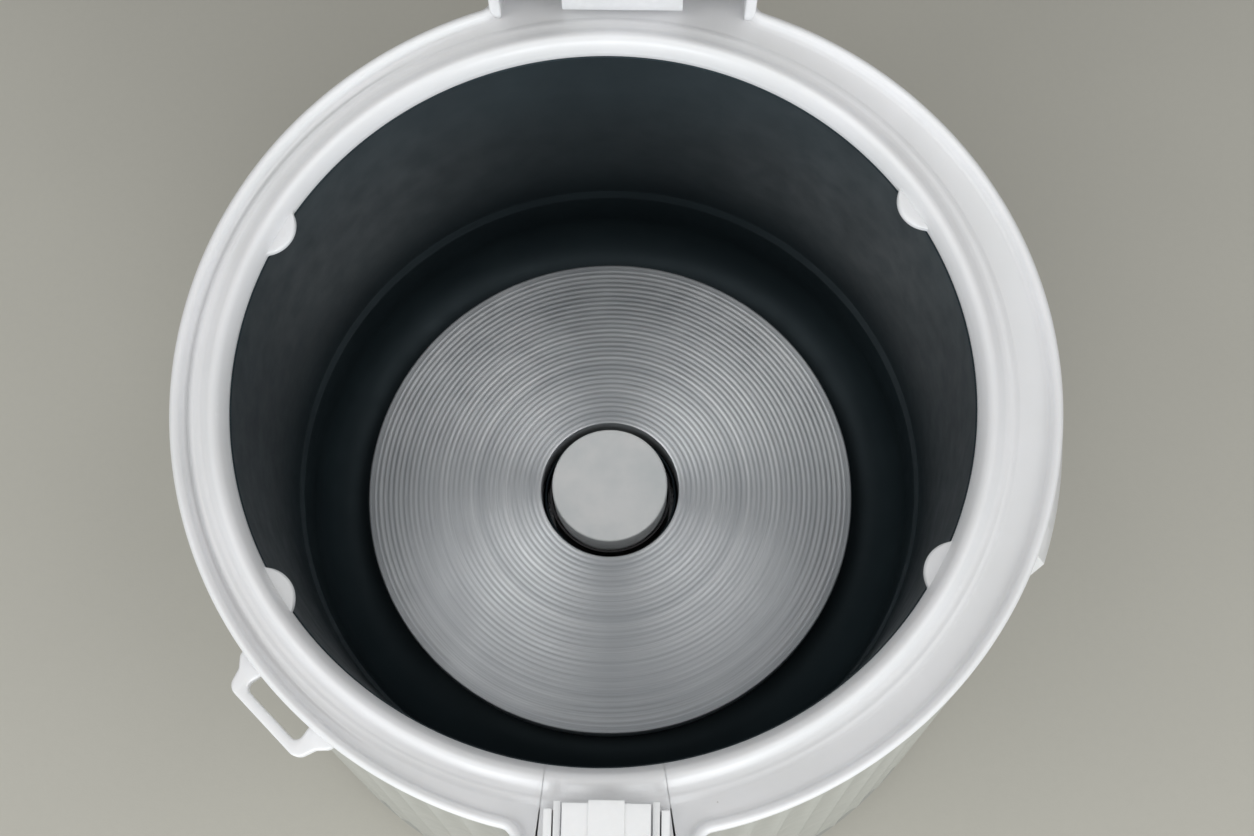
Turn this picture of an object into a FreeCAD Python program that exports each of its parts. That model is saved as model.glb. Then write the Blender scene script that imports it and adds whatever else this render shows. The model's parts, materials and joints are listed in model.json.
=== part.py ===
import FreeCAD, Part
import math
import os

import Sketcher

# A jar-type rice cooker with its lid open and its inner pot lifted out.
#
# Frame: +Z up, Z = 0 on the table, the Z axis is the axis of the outer body, +Y points to the
# lid hinge and +X to the power inlet.  The pot well has its own axis, a little to the -X side.
# Lid pieces are drawn closed and then turned up about the hinge pin.

DOCUMENT = FreeCAD.newDocument("RiceCooker")
SHEET = DOCUMENT.addObject("Spreadsheet::Sheet", "Sizes")
OPEN_TURN = FreeCAD.Rotation(FreeCAD.Vector(1, 0, 0), -90)


class Dim:
    """A size: its value in millimetres or degrees, and the sheet expression that gives it."""

    def __init__(self, value, text):
        self.value = value
        self.text = text

    def joined(self, sign, other, value):
        return Dim(value, "(%s %s %s)" % (self.text, sign, other.text))

    def __add__(self, other):
        other = dim(other)
        return self.joined("+", other, self.value + other.value)

    def __sub__(self, other):
        other = dim(other)
        return self.joined("-", other, self.value - other.value)

    def __mul__(self, other):
        other = dim(other)
        return self.joined("*", other, self.value * other.value)

    def __truediv__(self, other):
        other = dim(other)
        return self.joined("/", other, self.value / other.value)

    def __neg__(self):
        return Dim(-self.value, "(0 - %s)" % self.text)

    __radd__ = __add__

    def __rsub__(self, other):
        return dim(other) - self

    def __rmul__(self, other):
        return dim(other) * self


def dim(size):
    """A plain number becomes a Dim; a Dim stays as it is."""
    if isinstance(size, Dim):
        return size
    return Dim(float(size), "(%.6f)" % size)


ROW_COUNT = [0]


def size(alias, value, meaning):
    """Puts one driving dimension in the sheet and gives it back as a Dim."""
    ROW_COUNT[0] += 1
    row = ROW_COUNT[0]
    SHEET.set("A%d" % row, alias)
    SHEET.set("B%d" % row, "%g" % value)
    SHEET.set("C%d" % row, meaning)
    SHEET.setAlias("B%d" % row, alias)
    return Dim(float(value), "Sizes.%s" % alias)


# ---------------------------------------------------------------- driving dimensions

WELL_SHIFT = size("well_shift", 3.5, "pot well axis, to the -X side of the body axis")
WELL_X = -WELL_SHIFT

BASE_RADIUS = size("base_radius", 132, "outer shell at its foot")
SHELL_TOP_RADIUS = size("shell_top_radius", 120, "outer shell at its top edge")
SHELL_LOW = size("shell_low", 10, "height of the shell's foot")
SHELL_HIGH = size("shell_high", 183, "height of the shell's top edge")
SHELL_WALL = size("shell_wall", 2.5, "plastic wall")

RIM_RADIUS = size("rim_radius", 119.8, "outside of the raised outer lip")
RIM_TOP = size("rim_top", 191.5, "top of the outer lip")
LIP_WIDTH = size("lip_width", 3, "width of the outer lip")
FLOOR_TOP = size("floor_top", 188, "flat floor between the lips")
FLOOR_THICK = size("floor_thick", 2.4, "thickness of that floor")
SKIRT_LOW = size("skirt_low", 183.5, "lower edge of the collar's outside")
TONGUE_LOW = size("tongue_low", 176, "lower edge of the collar's tongue in the shell")
WELL_RADIUS = size("well_radius", 101.6, "opening in the collar")
OPENING_EDGE = size("opening_edge", 185.3, "height of the opening's edge")
INNER_LIP = size("inner_lip", 104.8, "radius of the inner lip's crest")

CASING_RADIUS = size("casing_radius", 101.2, "inside of the casing")
CASING_WALL = size("casing_wall", 0.8, "casing sheet")
CASING_FLOOR = size("casing_floor", 60, "top face of the casing floor")
CASING_ROUND = size("casing_round", 24, "inside radius where wall meets floor")
CASING_STEP = size("casing_step", 92, "height of the small step in the casing wall")

PLATE_RADIUS = size("plate_radius", 82, "heating plate")
PLATE_TOP = size("plate_top", 74, "height of the heating plate's face")
PLATE_THICK = size("plate_thick", 12, "heating plate thickness")
PLATE_HOLE = size("plate_hole", 23.3, "hole for the sensor")
ELEMENT_RING = size("element_ring", 55, "radius of the heating element's ring")
ELEMENT_RADIUS = size("element_radius", 3.3, "heating element tube")

CAP_RADIUS = size("cap_radius", 19.4, "sensor cap")
CAP_RISE = size("cap_rise", 5.8, "sensor cap above the plate")
SLEEVE_RADIUS = size("sleeve_radius", 20.6, "outside of the sensor sleeve")
BRACKET_LOW = size("bracket_low", 46, "underside of the sensor bracket")
BRACKET_THICK = size("bracket_thick", 1.5, "sensor bracket sheet")

FRONT_RADIUS = size("front_radius", 137, "curved face of the front housing")
FRONT_HALF = size("front_half", 23.5, "half width of the front housing")
FRONT_LOW = size("front_low", 16, "bottom of the front housing")

HINGE_Y = size("hinge_y", 118.5, "hinge pin behind the body axis")
HINGE_Z = size("hinge_z", 197, "height of the hinge pin")
HINGE_PIN = size("hinge_pin", 2, "radius of the hinge pin")
HINGE_INNER = size("hinge_inner", 35.2, "half gap between the hinge ears")
HINGE_WALL = size("hinge_wall", 3.3, "thickness of a hinge ear")
HINGE_BACK = size("hinge_back", 130.5, "back face of the hinge block")
KNUCKLE_HALF = size("knuckle_half", 17.25, "half width of the lid's knuckle")
KNUCKLE_RADIUS = size("knuckle_radius", 8, "radius of the lid's knuckle")

LID_RADIUS = size("lid_radius", 116.2, "lid's rim")
LID_LOW = size("lid_low", 190, "lid's rim above the table when closed")
LID_TOP = size("lid_top", 249, "top of the closed lid")
LID_WALL = size("lid_wall", 2.5, "lid plastic wall")

HOOK_Y = size("hook_y", -121, "latch hook's pin")
HOOK_Z = size("hook_z", 178, "height of the latch hook's pin")
LEVER_Y = size("lever_y", -60, "cook lever's pin")
LEVER_Z = size("lever_z", 33, "height of the cook lever's pin")

LINER_LOW = LID_LOW + 1.6
BLADES = ((-7, 125), (7, 125), (0, 129.5))
INLET_SCREW_Y = 16.1
INLET_SCREW_Z = 126
GAP = size("running_gap", 0.05, "radial clearance of a pin in its hole")

FOOT_INNER = size("foot_inner", 108, "inside of the rubber foot ring")
FOOT_OUTER = size("foot_outer", 115, "outside of the rubber foot ring")

FLUTE_TAPER = (BASE_RADIUS - SHELL_TOP_RADIUS) / (SHELL_HIGH - SHELL_LOW)
PLATE_LOW = PLATE_TOP - PLATE_THICK
CAP_TOP = PLATE_TOP + CAP_RISE
CASING_UNDER = CASING_FLOOR - CASING_WALL
DOCUMENT.recompute()


# ---------------------------------------------------------------- drawing helpers

def bind(thing, **sizes):
    """Ties properties of an object to sheet expressions."""
    for name, value in sizes.items():
        thing.setExpression(name, dim(value).text)


def place(thing, x=0, y=0, z=0, axis="Z"):
    """Puts a primitive at a bound position, with its own Z axis along a row axis."""
    turns = {"Z": (0, 0, 1, 0), "X": (0, 1, 0, 90), "Y": (1, 0, 0, -90)}
    ax, ay, az, angle = turns[axis]
    thing.Placement = FreeCAD.Placement(
        FreeCAD.Vector(), FreeCAD.Rotation(FreeCAD.Vector(ax, ay, az), angle)
    )
    for letter, value in (("x", x), ("y", y), ("z", z)):
        thing.setExpression("Placement.Base.%s" % letter, dim(value).text)
    return thing


def cylinder(name, radius, low, high, x=0, y=0, axis="Z"):
    """A cylinder from low to high along an axis; x and y are the other two coordinates."""
    thing = DOCUMENT.addObject("Part::Cylinder", name)
    bind(thing, Radius=radius, Height=dim(high) - low)
    if axis == "Z":
        return place(thing, x, y, low, "Z")
    if axis == "X":
        return place(thing, low, x, y, "X")
    return place(thing, x, low, y, "Y")


def cone(name, low_radius, high_radius, low, high, x=0):
    thing = DOCUMENT.addObject("Part::Cone", name)
    bind(thing, Radius1=low_radius, Radius2=high_radius, Height=dim(high) - low)
    return place(thing, x, 0, low)


def box(name, x_range, y_range, z_range):
    thing = DOCUMENT.addObject("Part::Box", name)
    bind(
        thing,
        Length=dim(x_range[1]) - x_range[0],
        Width=dim(y_range[1]) - y_range[0],
        Height=dim(z_range[1]) - z_range[0],
    )
    return place(thing, x_range[0], y_range[0], z_range[0])


def fuse(name, *pieces):
    thing = DOCUMENT.addObject("Part::MultiFuse", name)
    thing.Shapes = list(pieces)
    return thing


def common(name, *pieces):
    thing = DOCUMENT.addObject("Part::MultiCommon", name)
    thing.Shapes = list(pieces)
    return thing


def cut(name, base, *tools):
    """The base less every tool."""
    tool = tools[0] if len(tools) == 1 else fuse(name + "_tools", *tools)
    thing = DOCUMENT.addObject("Part::Cut", name)
    thing.Base = base
    thing.Tool = tool
    return thing


def group(name, *pieces):
    """Separate solids that share one node."""
    thing = DOCUMENT.addObject("Part::Compound", name)
    thing.Links = list(pieces)
    return thing


def tube(name, outer, inner, low, high, x=0, y=0, axis="Z"):
    return cut(
        name,
        cylinder(name + "_outer", outer, low, high, x, y, axis),
        cylinder(name + "_inner", inner, dim(low) - 1, dim(high) + 1, x, y, axis),
    )


def origin_plane(body, role):
    return [f for f in body.Origin.OriginFeatures if f.Role == role][0]


def outline(body, name, role, points):
    """A closed polygon sketch on one of the body's planes, every corner bound to the sheet."""
    sketch = body.newObject("Sketcher::SketchObject", name)
    sketch.AttachmentSupport = [(origin_plane(body, role), "")]
    sketch.MapMode = "FlatFace"
    corners = [(dim(a), dim(b)) for a, b in points]
    for i, (a, b) in enumerate(corners):
        c, d = corners[(i + 1) % len(corners)]
        sketch.addGeometry(
            Part.LineSegment(
                FreeCAD.Vector(a.value, b.value, 0), FreeCAD.Vector(c.value, d.value, 0)
            )
        )
    for i in range(len(corners)):
        sketch.addConstraint(Sketcher.Constraint("Coincident", i, 2, (i + 1) % len(corners), 1))
    for i, (a, b) in enumerate(corners):
        for kind, value, axis in (("DistanceX", a, -2), ("DistanceY", b, -1)):
            if value.value == 0:
                sketch.addConstraint(Sketcher.Constraint("PointOnObject", i, 1, axis))
                continue
            index = sketch.addConstraint(Sketcher.Constraint(kind, -1, 1, i, 1, value.value))
            sketch.setExpression("Constraints[%d]" % index, value.text)
    return sketch


def turned(name, points, x=0, angle=360):
    """A body of revolution about a vertical axis, from corners given as (radius, height)."""
    body = DOCUMENT.addObject("PartDesign::Body", name)
    sketch = outline(body, name + "_outline", "XZ_Plane", points)
    turn = body.newObject("PartDesign::Revolution", name + "_turn")
    turn.Profile = (sketch, [""])
    turn.ReferenceAxis = (sketch, ["V_Axis"])
    turn.Angle = angle
    turn.Midplane = angle != 360
    body.setExpression("Placement.Base.x", dim(x).text)
    DOCUMENT.recompute()
    return body


def extruded(name, points, low, high):
    """A body padded upwards from a plan outline given as (x, y) corners."""
    body = DOCUMENT.addObject("PartDesign::Body", name)
    sketch = outline(body, name + "_outline", "XY_Plane", points)
    pad = body.newObject("PartDesign::Pad", name + "_pad")
    pad.Profile = (sketch, [""])
    bind(pad, Length=dim(high) - low)
    body.setExpression("Placement.Base.z", dim(low).text)
    DOCUMENT.recompute()
    return body


def round_circles(body, name, circles, radius):
    """Fillets the circular edges of a turned body, each named by its radius and height."""
    base = body.Tip
    edges = []
    for index, edge in enumerate(base.Shape.Edges):
        if not isinstance(edge.Curve, Part.Circle):
            continue
        for ring, height in circles:
            same_ring = abs(edge.Curve.Radius - dim(ring).value) < 0.01
            if same_ring and abs(edge.Curve.Center.z - dim(height).value) < 0.01:
                edges.append("Edge%d" % (index + 1))
    fillet = body.newObject("PartDesign::Fillet", name)
    fillet.Base = (base, edges)
    bind(fillet, Radius=radius)
    body.Tip = fillet
    DOCUMENT.recompute()
    return body


def coil(name, ring, wire, low, high, turns, x=0, y=0, axis="Z"):
    """A helical spring; its ends lie half a wire inside low and high."""
    ring, wire, low, high = (dim(v).value for v in (ring, wire, low, high))
    pitch = (high - low - 2 * wire) / turns
    path = Part.makeHelix(pitch, pitch * turns, ring)
    start = Part.Circle(FreeCAD.Vector(ring, 0, 0), FreeCAD.Vector(0, 1, 0), wire)
    section = Part.Wire([start.toShape()])
    shape = Part.Wire(path).makePipeShell([section], True, True)
    thing = DOCUMENT.addObject("Part::Feature", name)
    thing.Shape = shape
    if axis == "Z":
        return place(thing, x, y, low + wire)
    if axis == "X":
        return place(thing, low + wire, x, y, "X")
    return place(thing, x, low + wire, y, "Y")


def ring_places(count, radius, start=0, x=0):
    """Positions of repeated pieces round a circle, as bound (x, y) pairs."""
    places = []
    for i in range(count):
        angle = math.radians(start + 360.0 * i / count)
        places.append((dim(x) + dim(radius) * math.cos(angle), dim(radius) * math.sin(angle)))
    return places


NODES = []


def node(thing, label, lid=False):
    """Names a finished sub-part; a lid piece is turned open about the hinge pin."""
    thing.Label = label
    if lid:
        pin = FreeCAD.Vector(0, HINGE_Y.value, HINGE_Z.value)
        turn = FreeCAD.Placement(FreeCAD.Vector(), OPEN_TURN, pin)
        thing.Placement = turn.multiply(thing.Placement)
    NODES.append(thing)
    return thing


def shell_radius(height):
    """Outside radius of the tapered shell at a height."""
    return BASE_RADIUS - (dim(height) - SHELL_LOW) * FLUTE_TAPER


def shell_envelope(name, low, high, clearance=0.05):
    """A solid cone a little larger than the shell, to trim what sits against its outside."""
    return cone(name, shell_radius(low) + clearance, shell_radius(high) + clearance, low, high)


# ---------------------------------------------------------------- outer body

def outer_shell():
    """The tapered plastic wall, open where the front housing and the inlet pass through it."""
    wall = turned(
        "shell_wall",
        [
            (BASE_RADIUS, SHELL_LOW),
            (SHELL_TOP_RADIUS, SHELL_HIGH),
            (SHELL_TOP_RADIUS - SHELL_WALL, SHELL_HIGH),
            (BASE_RADIUS - SHELL_WALL, SHELL_LOW),
        ],
    )
    front = box("shell_front", (-20, 20), (-140, -100), (FRONT_LOW + 4, SHELL_HIGH + 1))
    inlet = box("shell_inlet", (100, 140), (-14.5, 14.5), (113, 139))
    node(cut("outer_shell", wall, front, inlet, *inlet_screw_holes("shell", 1.3)), "outer_shell")


def inlet_screw_holes(name, radius):
    """The two holes in the wall behind the socket's flange."""
    return [
        cylinder("%s_screw_hole_%d" % (name, i), radius, 115, 130, y, INLET_SCREW_Z, "X")
        for i, y in enumerate((-INLET_SCREW_Y, INLET_SCREW_Y))
    ]


def collar_blocks(name, inset, low, high):
    """Disc, front block and hinge block of the collar, all drawn in by one inset."""
    disc = cylinder(name + "_disc", RIM_RADIUS - inset, low, high)
    front = common(
        name + "_front",
        box(name + "_front_box", (inset - FRONT_HALF, FRONT_HALF - inset), (-140, -90), (low, high)),
        cylinder(name + "_front_round", FRONT_RADIUS - inset, low, high),
    )
    half = HINGE_INNER + HINGE_WALL - inset
    rear = box(name + "_rear", (-half, half), (90, HINGE_BACK - inset), (low, high))
    return fuse(name, disc, front, rear)


def top_collar():
    """The white ring round the opening, with its lips, hinge ears and pot guide tabs."""
    block = collar_blocks("collar_block", dim(0), SKIRT_LOW, RIM_TOP)
    floor = collar_blocks("collar_floor", LIP_WIDTH, FLOOR_TOP, RIM_TOP + 1)
    under = cylinder("collar_under", RIM_RADIUS - 5.4, SKIRT_LOW - 1, FLOOR_TOP - FLOOR_THICK)
    tongue = tube("collar_tongue", RIM_RADIUS - 2.9, RIM_RADIUS - 5.4, TONGUE_LOW, FLOOR_TOP - 1)
    well = cylinder("collar_well", WELL_RADIUS, TONGUE_LOW, RIM_TOP + 1, WELL_X)
    under_lip = OPENING_EDGE - 0.9
    inner_lip = turned(
        "collar_inner_lip",
        [
            (WELL_RADIUS, under_lip),
            (WELL_RADIUS, OPENING_EDGE),
            (WELL_RADIUS + 1.6, OPENING_EDGE + 3.2),
            (INNER_LIP - 1, FLOOR_TOP + 2.6),
            (INNER_LIP, FLOOR_TOP + 3),
            (INNER_LIP + 1, FLOOR_TOP + 2.4),
            (INNER_LIP + 2.2, FLOOR_TOP + 0.6),
            (INNER_LIP + 4.4, FLOOR_TOP + 0.6),
            (INNER_LIP + 5.2, FLOOR_TOP + 1.2),
            (INNER_LIP + 6, FLOOR_TOP + 1.2),
            (INNER_LIP + 6.8, FLOOR_TOP),
            (INNER_LIP + 6.8, FLOOR_TOP - FLOOR_THICK),
            (WELL_RADIUS + 2.5, FLOOR_TOP - FLOOR_THICK),
            (WELL_RADIUS + 2.5, under_lip),
        ],
        WELL_X,
    )
    tab_radius = 6.75
    tabs = []
    for i, angle in enumerate((31.8, 152.8, 214.8, 330.3)):
        x, y = ring_places(1, WELL_RADIUS + 3.95, angle, WELL_X)[0]
        disc = cylinder("collar_tab_%d" % i, tab_radius, under_lip, under_lip + 1.6, x, y)
        tabs.append(disc)
    tab_limit = cylinder("collar_tab_limit", WELL_RADIUS + 2.5, under_lip, under_lip + 1.6, WELL_X)
    tab_ring = common("collar_tabs", fuse("collar_tab_discs", *tabs), tab_limit)
    ears = []
    for ear_name, start in (
        ("collar_ear_left", -(HINGE_INNER + HINGE_WALL)),
        ("collar_ear_right", HINGE_INNER),
    ):
        ears.append(cylinder(ear_name, 7, start, start + HINGE_WALL, HINGE_Y, HINGE_Z, "X"))
        ears.append(
            box(
                ear_name + "_foot",
                (start, start + HINGE_WALL),
                (HINGE_Y - 7, HINGE_Y + 7),
                (FLOOR_TOP - 1, HINGE_Z),
            )
        )
    pin_hole = cylinder("collar_pin_hole", HINGE_PIN + GAP, -60, 60, HINGE_Y, HINGE_Z, "X")
    hook_slot = box("collar_hook_slot", (-9, 9), (-129, -116), (SKIRT_LOW - 1, FLOOR_TOP + 1))
    ring = cut("collar_ring", fuse("collar_outer", block, tongue), floor, under, well)
    blank = fuse("collar_all", ring, inner_lip, tab_ring, *ears)
    node(cut("collar_joined", blank, pin_hole, hook_slot), "top_collar")


def spoon_loop():
    """The flat loop beside the rim that the rice spoon hangs in."""
    reach, slot_in, slot_out = 127.3, 120.6, 124.6
    slot_half, corner = 10.2, 5
    plate = extruded(
        "spoon_plate",
        [
            (117.2, -16.7),
            (120.2, -15.4),
            (reach - corner, -13.6),
            (reach - 1.2, -12.2),
            (reach, -10.2),
            (reach, 10.2),
            (reach - 1.2, 12.2),
            (reach - corner, 13.6),
            (120.2, 15.4),
            (117.2, 16.7),
        ],
        SKIRT_LOW + 0.2,
        SKIRT_LOW + 4,
    )
    low, high = SKIRT_LOW - 1, SKIRT_LOW + 5
    middle = (slot_in + slot_out) / 2
    half_wide = (slot_out - slot_in) / 2
    straight = slot_half - half_wide
    slot = box("spoon_slot", (slot_in, slot_out), (-straight, straight), (low, high))
    ends = [
        cylinder("spoon_slot_end_%d" % i, half_wide, low, high, middle, y)
        for i, y in enumerate((-straight, straight))
    ]
    rim = cylinder("spoon_rim", RIM_RADIUS + 0.02, low, high)
    loop = cut("spoon_loop", plate, slot, rim, *ends)
    loop.Placement = FreeCAD.Placement(
        FreeCAD.Vector(), FreeCAD.Rotation(FreeCAD.Vector(0, 0, 1), -133.9)
    )
    node(loop, "spoon_loop")


def front_housing():
    """The column on the front that holds the open button, the lamps and the cook key."""
    top = SKIRT_LOW - 0.3
    outside = common(
        "front_outside",
        box("front_outside_box", (-FRONT_HALF, FRONT_HALF), (-140, -108), (FRONT_LOW, top)),
        cylinder("front_outside_round", FRONT_RADIUS, FRONT_LOW, top),
    )
    inset = dim(2.5)
    inside = common(
        "front_inside",
        box(
            "front_inside_box",
            (inset - FRONT_HALF, FRONT_HALF - inset),
            (-140, -100),
            (FRONT_LOW + inset, top + 1),
        ),
        cylinder("front_inside_round", FRONT_RADIUS - inset, FRONT_LOW + inset, top + 1),
    )
    shell = shell_envelope("front_shell", SHELL_LOW, SHELL_HIGH + 1)
    button = box("front_button_hole", (-14.4, 14.4), (-140, -130), (147.9, 170.1))
    key = box("front_key_slot", (-12.6, 12.6), (-140, -130), (31, 54))
    lamps = [
        cylinder("front_lamp_hole_%d" % i, 3.05, -140, -130, 0, z, "Y")
        for i, z in enumerate((80, 100))
    ]
    node(cut("front_housing", outside, inside, shell, button, key, *lamps), "front_housing")


def lamp_lenses():
    """The two domed lamp windows, one for cook and one for keep warm."""
    for name, height in (("cook_lamp_lens", 80), ("warm_lamp_lens", 100)):
        barrel = cylinder(name + "_barrel", 3, -137.8, -131, 0, height, "Y")
        flange = cylinder(name + "_flange", 4.2, -134.2, -132.8, 0, height, "Y")
        node(fuse(name, barrel, flange), name)


def lamp_board():
    """The small circuit board behind the lenses with its two lamps."""
    board = box("lamp_board_sheet", (-16, 16), (-125.2, -123.6), (70, 110))
    lamps = [
        cylinder("lamp_board_lamp_%d" % i, 2.4, -130.6, -125.2, 0, z, "Y")
        for i, z in enumerate((80, 100))
    ]
    resistors = [
        cylinder("lamp_board_resistor_%d" % i, 1.4, -4, 4, -127, z, "X")
        for i, z in enumerate((87, 92))
    ]
    stand = box("lamp_board_lugs", (-19.5, 19.5), (-123.5, -121.9), (86, 94))
    node(fuse("lamp_board", board, stand, *(lamps + resistors)), "lamp_board")


def inlet_housing():
    """The upright pad on the right side that stands proud of the shell around the inlet."""
    face = dim(126)
    low, high = dim(105), dim(172)
    pad = turned(
        "inlet_pad",
        [
            (shell_radius(low) + 0.05, low),
            (face, low),
            (face, high - 7),
            (shell_radius(high) + 1.2, high),
            (shell_radius(high) + 0.05, high),
        ],
        0,
        40,
    )
    recess = box("inlet_recess", (124.9, 130), (-18.2, 18.2), (110.8, 141.2))
    mouth = box("inlet_mouth", (100, 130), (-14.5, 14.5), (113, 139))
    holes = inlet_screw_holes("pad", 1.3)
    node(cut("inlet_housing", pad, recess, mouth, *holes), "inlet_housing")


def power_inlet():
    """The mains socket with its flange, open at the mouth."""
    flange = box("socket_flange", (125, 127), (-18, 18), (111, 141))
    barrel = box("socket_barrel", (105, 126), (-14, 14), (113.5, 138.5))
    mouth = box("socket_mouth", (109, 128), (-12.2, 12.2), (117.5, 134.5))
    holes = [
        box("socket_blade_hole_%d" % i, (104, 110), (y - 1.05, y + 1.05), (z - 2.05, z + 2.05))
        for i, (y, z) in enumerate(BLADES)
    ]
    holes += inlet_screw_holes("socket", 1.3)
    body = fuse("socket_block", flange, barrel)
    node(cut("power_inlet", body, mouth, *holes), "power_inlet")


def inlet_blades():
    """The three flat contacts in the socket, with tails for the wires."""
    blades = [
        box("inlet_blade_%d" % i, (101, 122), (y - 1, y + 1), (z - 2, z + 2))
        for i, (y, z) in enumerate(BLADES)
    ]
    node(group("inlet_blades", *blades), "inlet_blades")


def inlet_screws():
    screws = []
    for i, y in enumerate((-INLET_SCREW_Y, INLET_SCREW_Y)):
        shank = cylinder("inlet_screw_shank_%d" % i, 1.25, 119, 127.2, y, INLET_SCREW_Z, "X")
        head = cylinder("inlet_screw_head_%d" % i, 1.75, 127.02, 128.1, y, INLET_SCREW_Z, "X")
        screws.append(fuse("inlet_screw_%d" % i, shank, head))
    node(group("inlet_screws", *screws), "inlet_screws")


# ---------------------------------------------------------------- base

def base_cover():
    """The bottom pan: vented floor, standing ring and the rim that carries the shell."""
    body = turned(
        "base_pan",
        [
            (0, 4),
            (105, 4),
            (105, 1.2),
            (FOOT_INNER - 0.05, 1.2),
            (FOOT_INNER - 0.05, 3.25),
            (FOOT_OUTER + 0.05, 3.25),
            (FOOT_OUTER + 0.05, 1.2),
            (118, 1.2),
            (118, 4),
            (128.5, 4),
            (BASE_RADIUS - 0.4, SHELL_LOW - 3),
            (BASE_RADIUS, SHELL_LOW - 0.3),
            (128.6, SHELL_LOW - 0.3),
            (128.6, SHELL_LOW + 6),
            (126.6, SHELL_LOW + 6),
            (126.6, 6.5),
            (0, 6.5),
        ],
    )
    sketch = outline(body, "vent_outline", "XY_Plane", [(78, 8), (100, 8), (100, 11.2), (78, 11.2)])
    vent = body.newObject("PartDesign::Pocket", "vent_slot")
    vent.Profile = (sketch, [""])
    vent.Type = 1
    vent.Midplane = True
    body.Tip = vent
    DOCUMENT.recompute()
    ring = body.newObject("PartDesign::PolarPattern", "vent_ring")
    ring.Originals = [vent]
    ring.Axis = (sketch, ["N_Axis"])
    ring.Angle = 360
    ring.Occurrences = 24
    body.Tip = ring
    DOCUMENT.recompute()
    holes = [
        cylinder("base_screw_hole_%d" % i, 1.8, 0, 8, x, y)
        for i, (x, y) in enumerate(ring_places(3, 68, 90, WELL_X))
    ]
    node(cut("base_cover", body, *holes), "base_cover")


def foot_ring():
    """The rubber ring the cooker stands on, seated in the base cover's groove."""
    ring = turned(
        "foot_body",
        [(FOOT_INNER, 0), (FOOT_OUTER, 0), (FOOT_OUTER, 3.2), (FOOT_INNER, 3.2)],
    )
    node(ring, "foot_ring")


def casing_posts():
    """Three posts that carry the casing on the base cover."""
    posts = [
        tube("casing_post_%d" % i, 5, 1.55, 6.5, CASING_UNDER, x, y)
        for i, (x, y) in enumerate(ring_places(3, 68, 90, WELL_X))
    ]
    node(group("casing_posts", *posts), "casing_posts")


def base_screws():
    """The screws that hold the base cover up against the posts."""
    screws = []
    for i, (x, y) in enumerate(ring_places(3, 68, 90, WELL_X)):
        head = cylinder("base_screw_head_%d" % i, 3.4, 1.9, 4, x, y)
        shank = cylinder("base_screw_shank_%d" % i, 1.5, 3.9, 18, x, y)
        slot = box("base_screw_slot_%d" % i, (x - 2.4, x + 2.4), (y - 0.4, y + 0.4), (1.8, 2.7))
        screws.append(cut("base_screw_%d" % i, fuse("base_screw_body_%d" % i, head, shank), slot))
    node(group("base_screws", *screws), "base_screws")


# ---------------------------------------------------------------- pot well

def inner_casing():
    """The drawn steel cup of the pot well, with a flange under the collar and a sensor neck."""
    inner, sheet = CASING_RADIUS, CASING_WALL
    flange_top = OPENING_EDGE - 0.9
    neck = dim(22.5)
    neck_top = CASING_FLOOR + 6
    body = turned(
        "casing_cup",
        [
            (inner, flange_top),
            (inner, CASING_STEP),
            (inner - 0.6, CASING_STEP - 1),
            (inner - 0.6, CASING_FLOOR),
            (neck, CASING_FLOOR),
            (neck, neck_top),
            (neck - 0.7, neck_top),
            (neck - 0.7, CASING_UNDER),
            (inner + sheet - 0.6, CASING_UNDER),
            (inner + sheet - 0.6, CASING_STEP - 1),
            (inner + sheet, CASING_STEP),
            (inner + sheet, flange_top - sheet),
            (inner + 7, flange_top - sheet),
            (inner + 7, flange_top),
        ],
        WELL_X,
    )
    round_circles(body, "casing_round_inside", [(inner - 0.6, CASING_FLOOR)], CASING_ROUND)
    round_circles(
        body,
        "casing_round_outside",
        [(inner + sheet - 0.6, CASING_UNDER)],
        CASING_ROUND + sheet,
    )
    low, high = CASING_FLOOR - 3, CASING_FLOOR + 2
    feet = [
        cylinder("casing_plate_hole_%d" % i, 2.3, low, high, x, y)
        for i, (x, y) in enumerate(ring_places(3, 66, 30, WELL_X))
    ]
    leads = [
        cylinder("casing_lead_hole_%d" % i, 5, low, high, x, y)
        for i, (x, y) in enumerate(terminal_places())
    ]
    node(cut("inner_casing", body, *(feet + leads)), "inner_casing")


def terminal_places():
    """Where the heating element's two ends leave it."""
    places = []
    for angle in (80, 100):
        places += ring_places(1, ELEMENT_RING, angle, WELL_X)
    return places


def heating_plate():
    """The cast aluminium plate, grooved below for its element and standing on three feet."""
    body = turned(
        "plate_disc",
        [
            (PLATE_HOLE, PLATE_TOP),
            (PLATE_RADIUS, PLATE_TOP),
            (PLATE_RADIUS, PLATE_TOP - 8),
            (PLATE_RADIUS - 10, PLATE_LOW),
            (PLATE_HOLE, PLATE_LOW),
        ],
        WELL_X,
    )
    round_circles(body, "plate_round", [(PLATE_RADIUS, PLATE_TOP)], 1.2)
    groove = DOCUMENT.addObject("Part::Torus", "plate_groove")
    bind(groove, Radius1=ELEMENT_RING, Radius2=ELEMENT_RADIUS + GAP)
    place(groove, WELL_X, 0, PLATE_LOW + 2.5)
    mouth = tube(
        "plate_groove_mouth",
        ELEMENT_RING + ELEMENT_RADIUS + GAP,
        ELEMENT_RING - ELEMENT_RADIUS - GAP,
        PLATE_LOW - 1,
        PLATE_LOW + 2.5,
        WELL_X,
    )
    feet = []
    holes = []
    for i, (x, y) in enumerate(ring_places(3, 66, 30, WELL_X)):
        feet.append(cylinder("plate_foot_%d" % i, 5, CASING_FLOOR, PLATE_LOW + 2, x, y))
        holes.append(cylinder("plate_foot_hole_%d" % i, 2, CASING_FLOOR - 1, PLATE_TOP - 4, x, y))
    disc = fuse("plate_with_feet", body, *feet)
    node(cut("heating_plate", disc, groove, mouth, *holes), "heating_plate")


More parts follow.
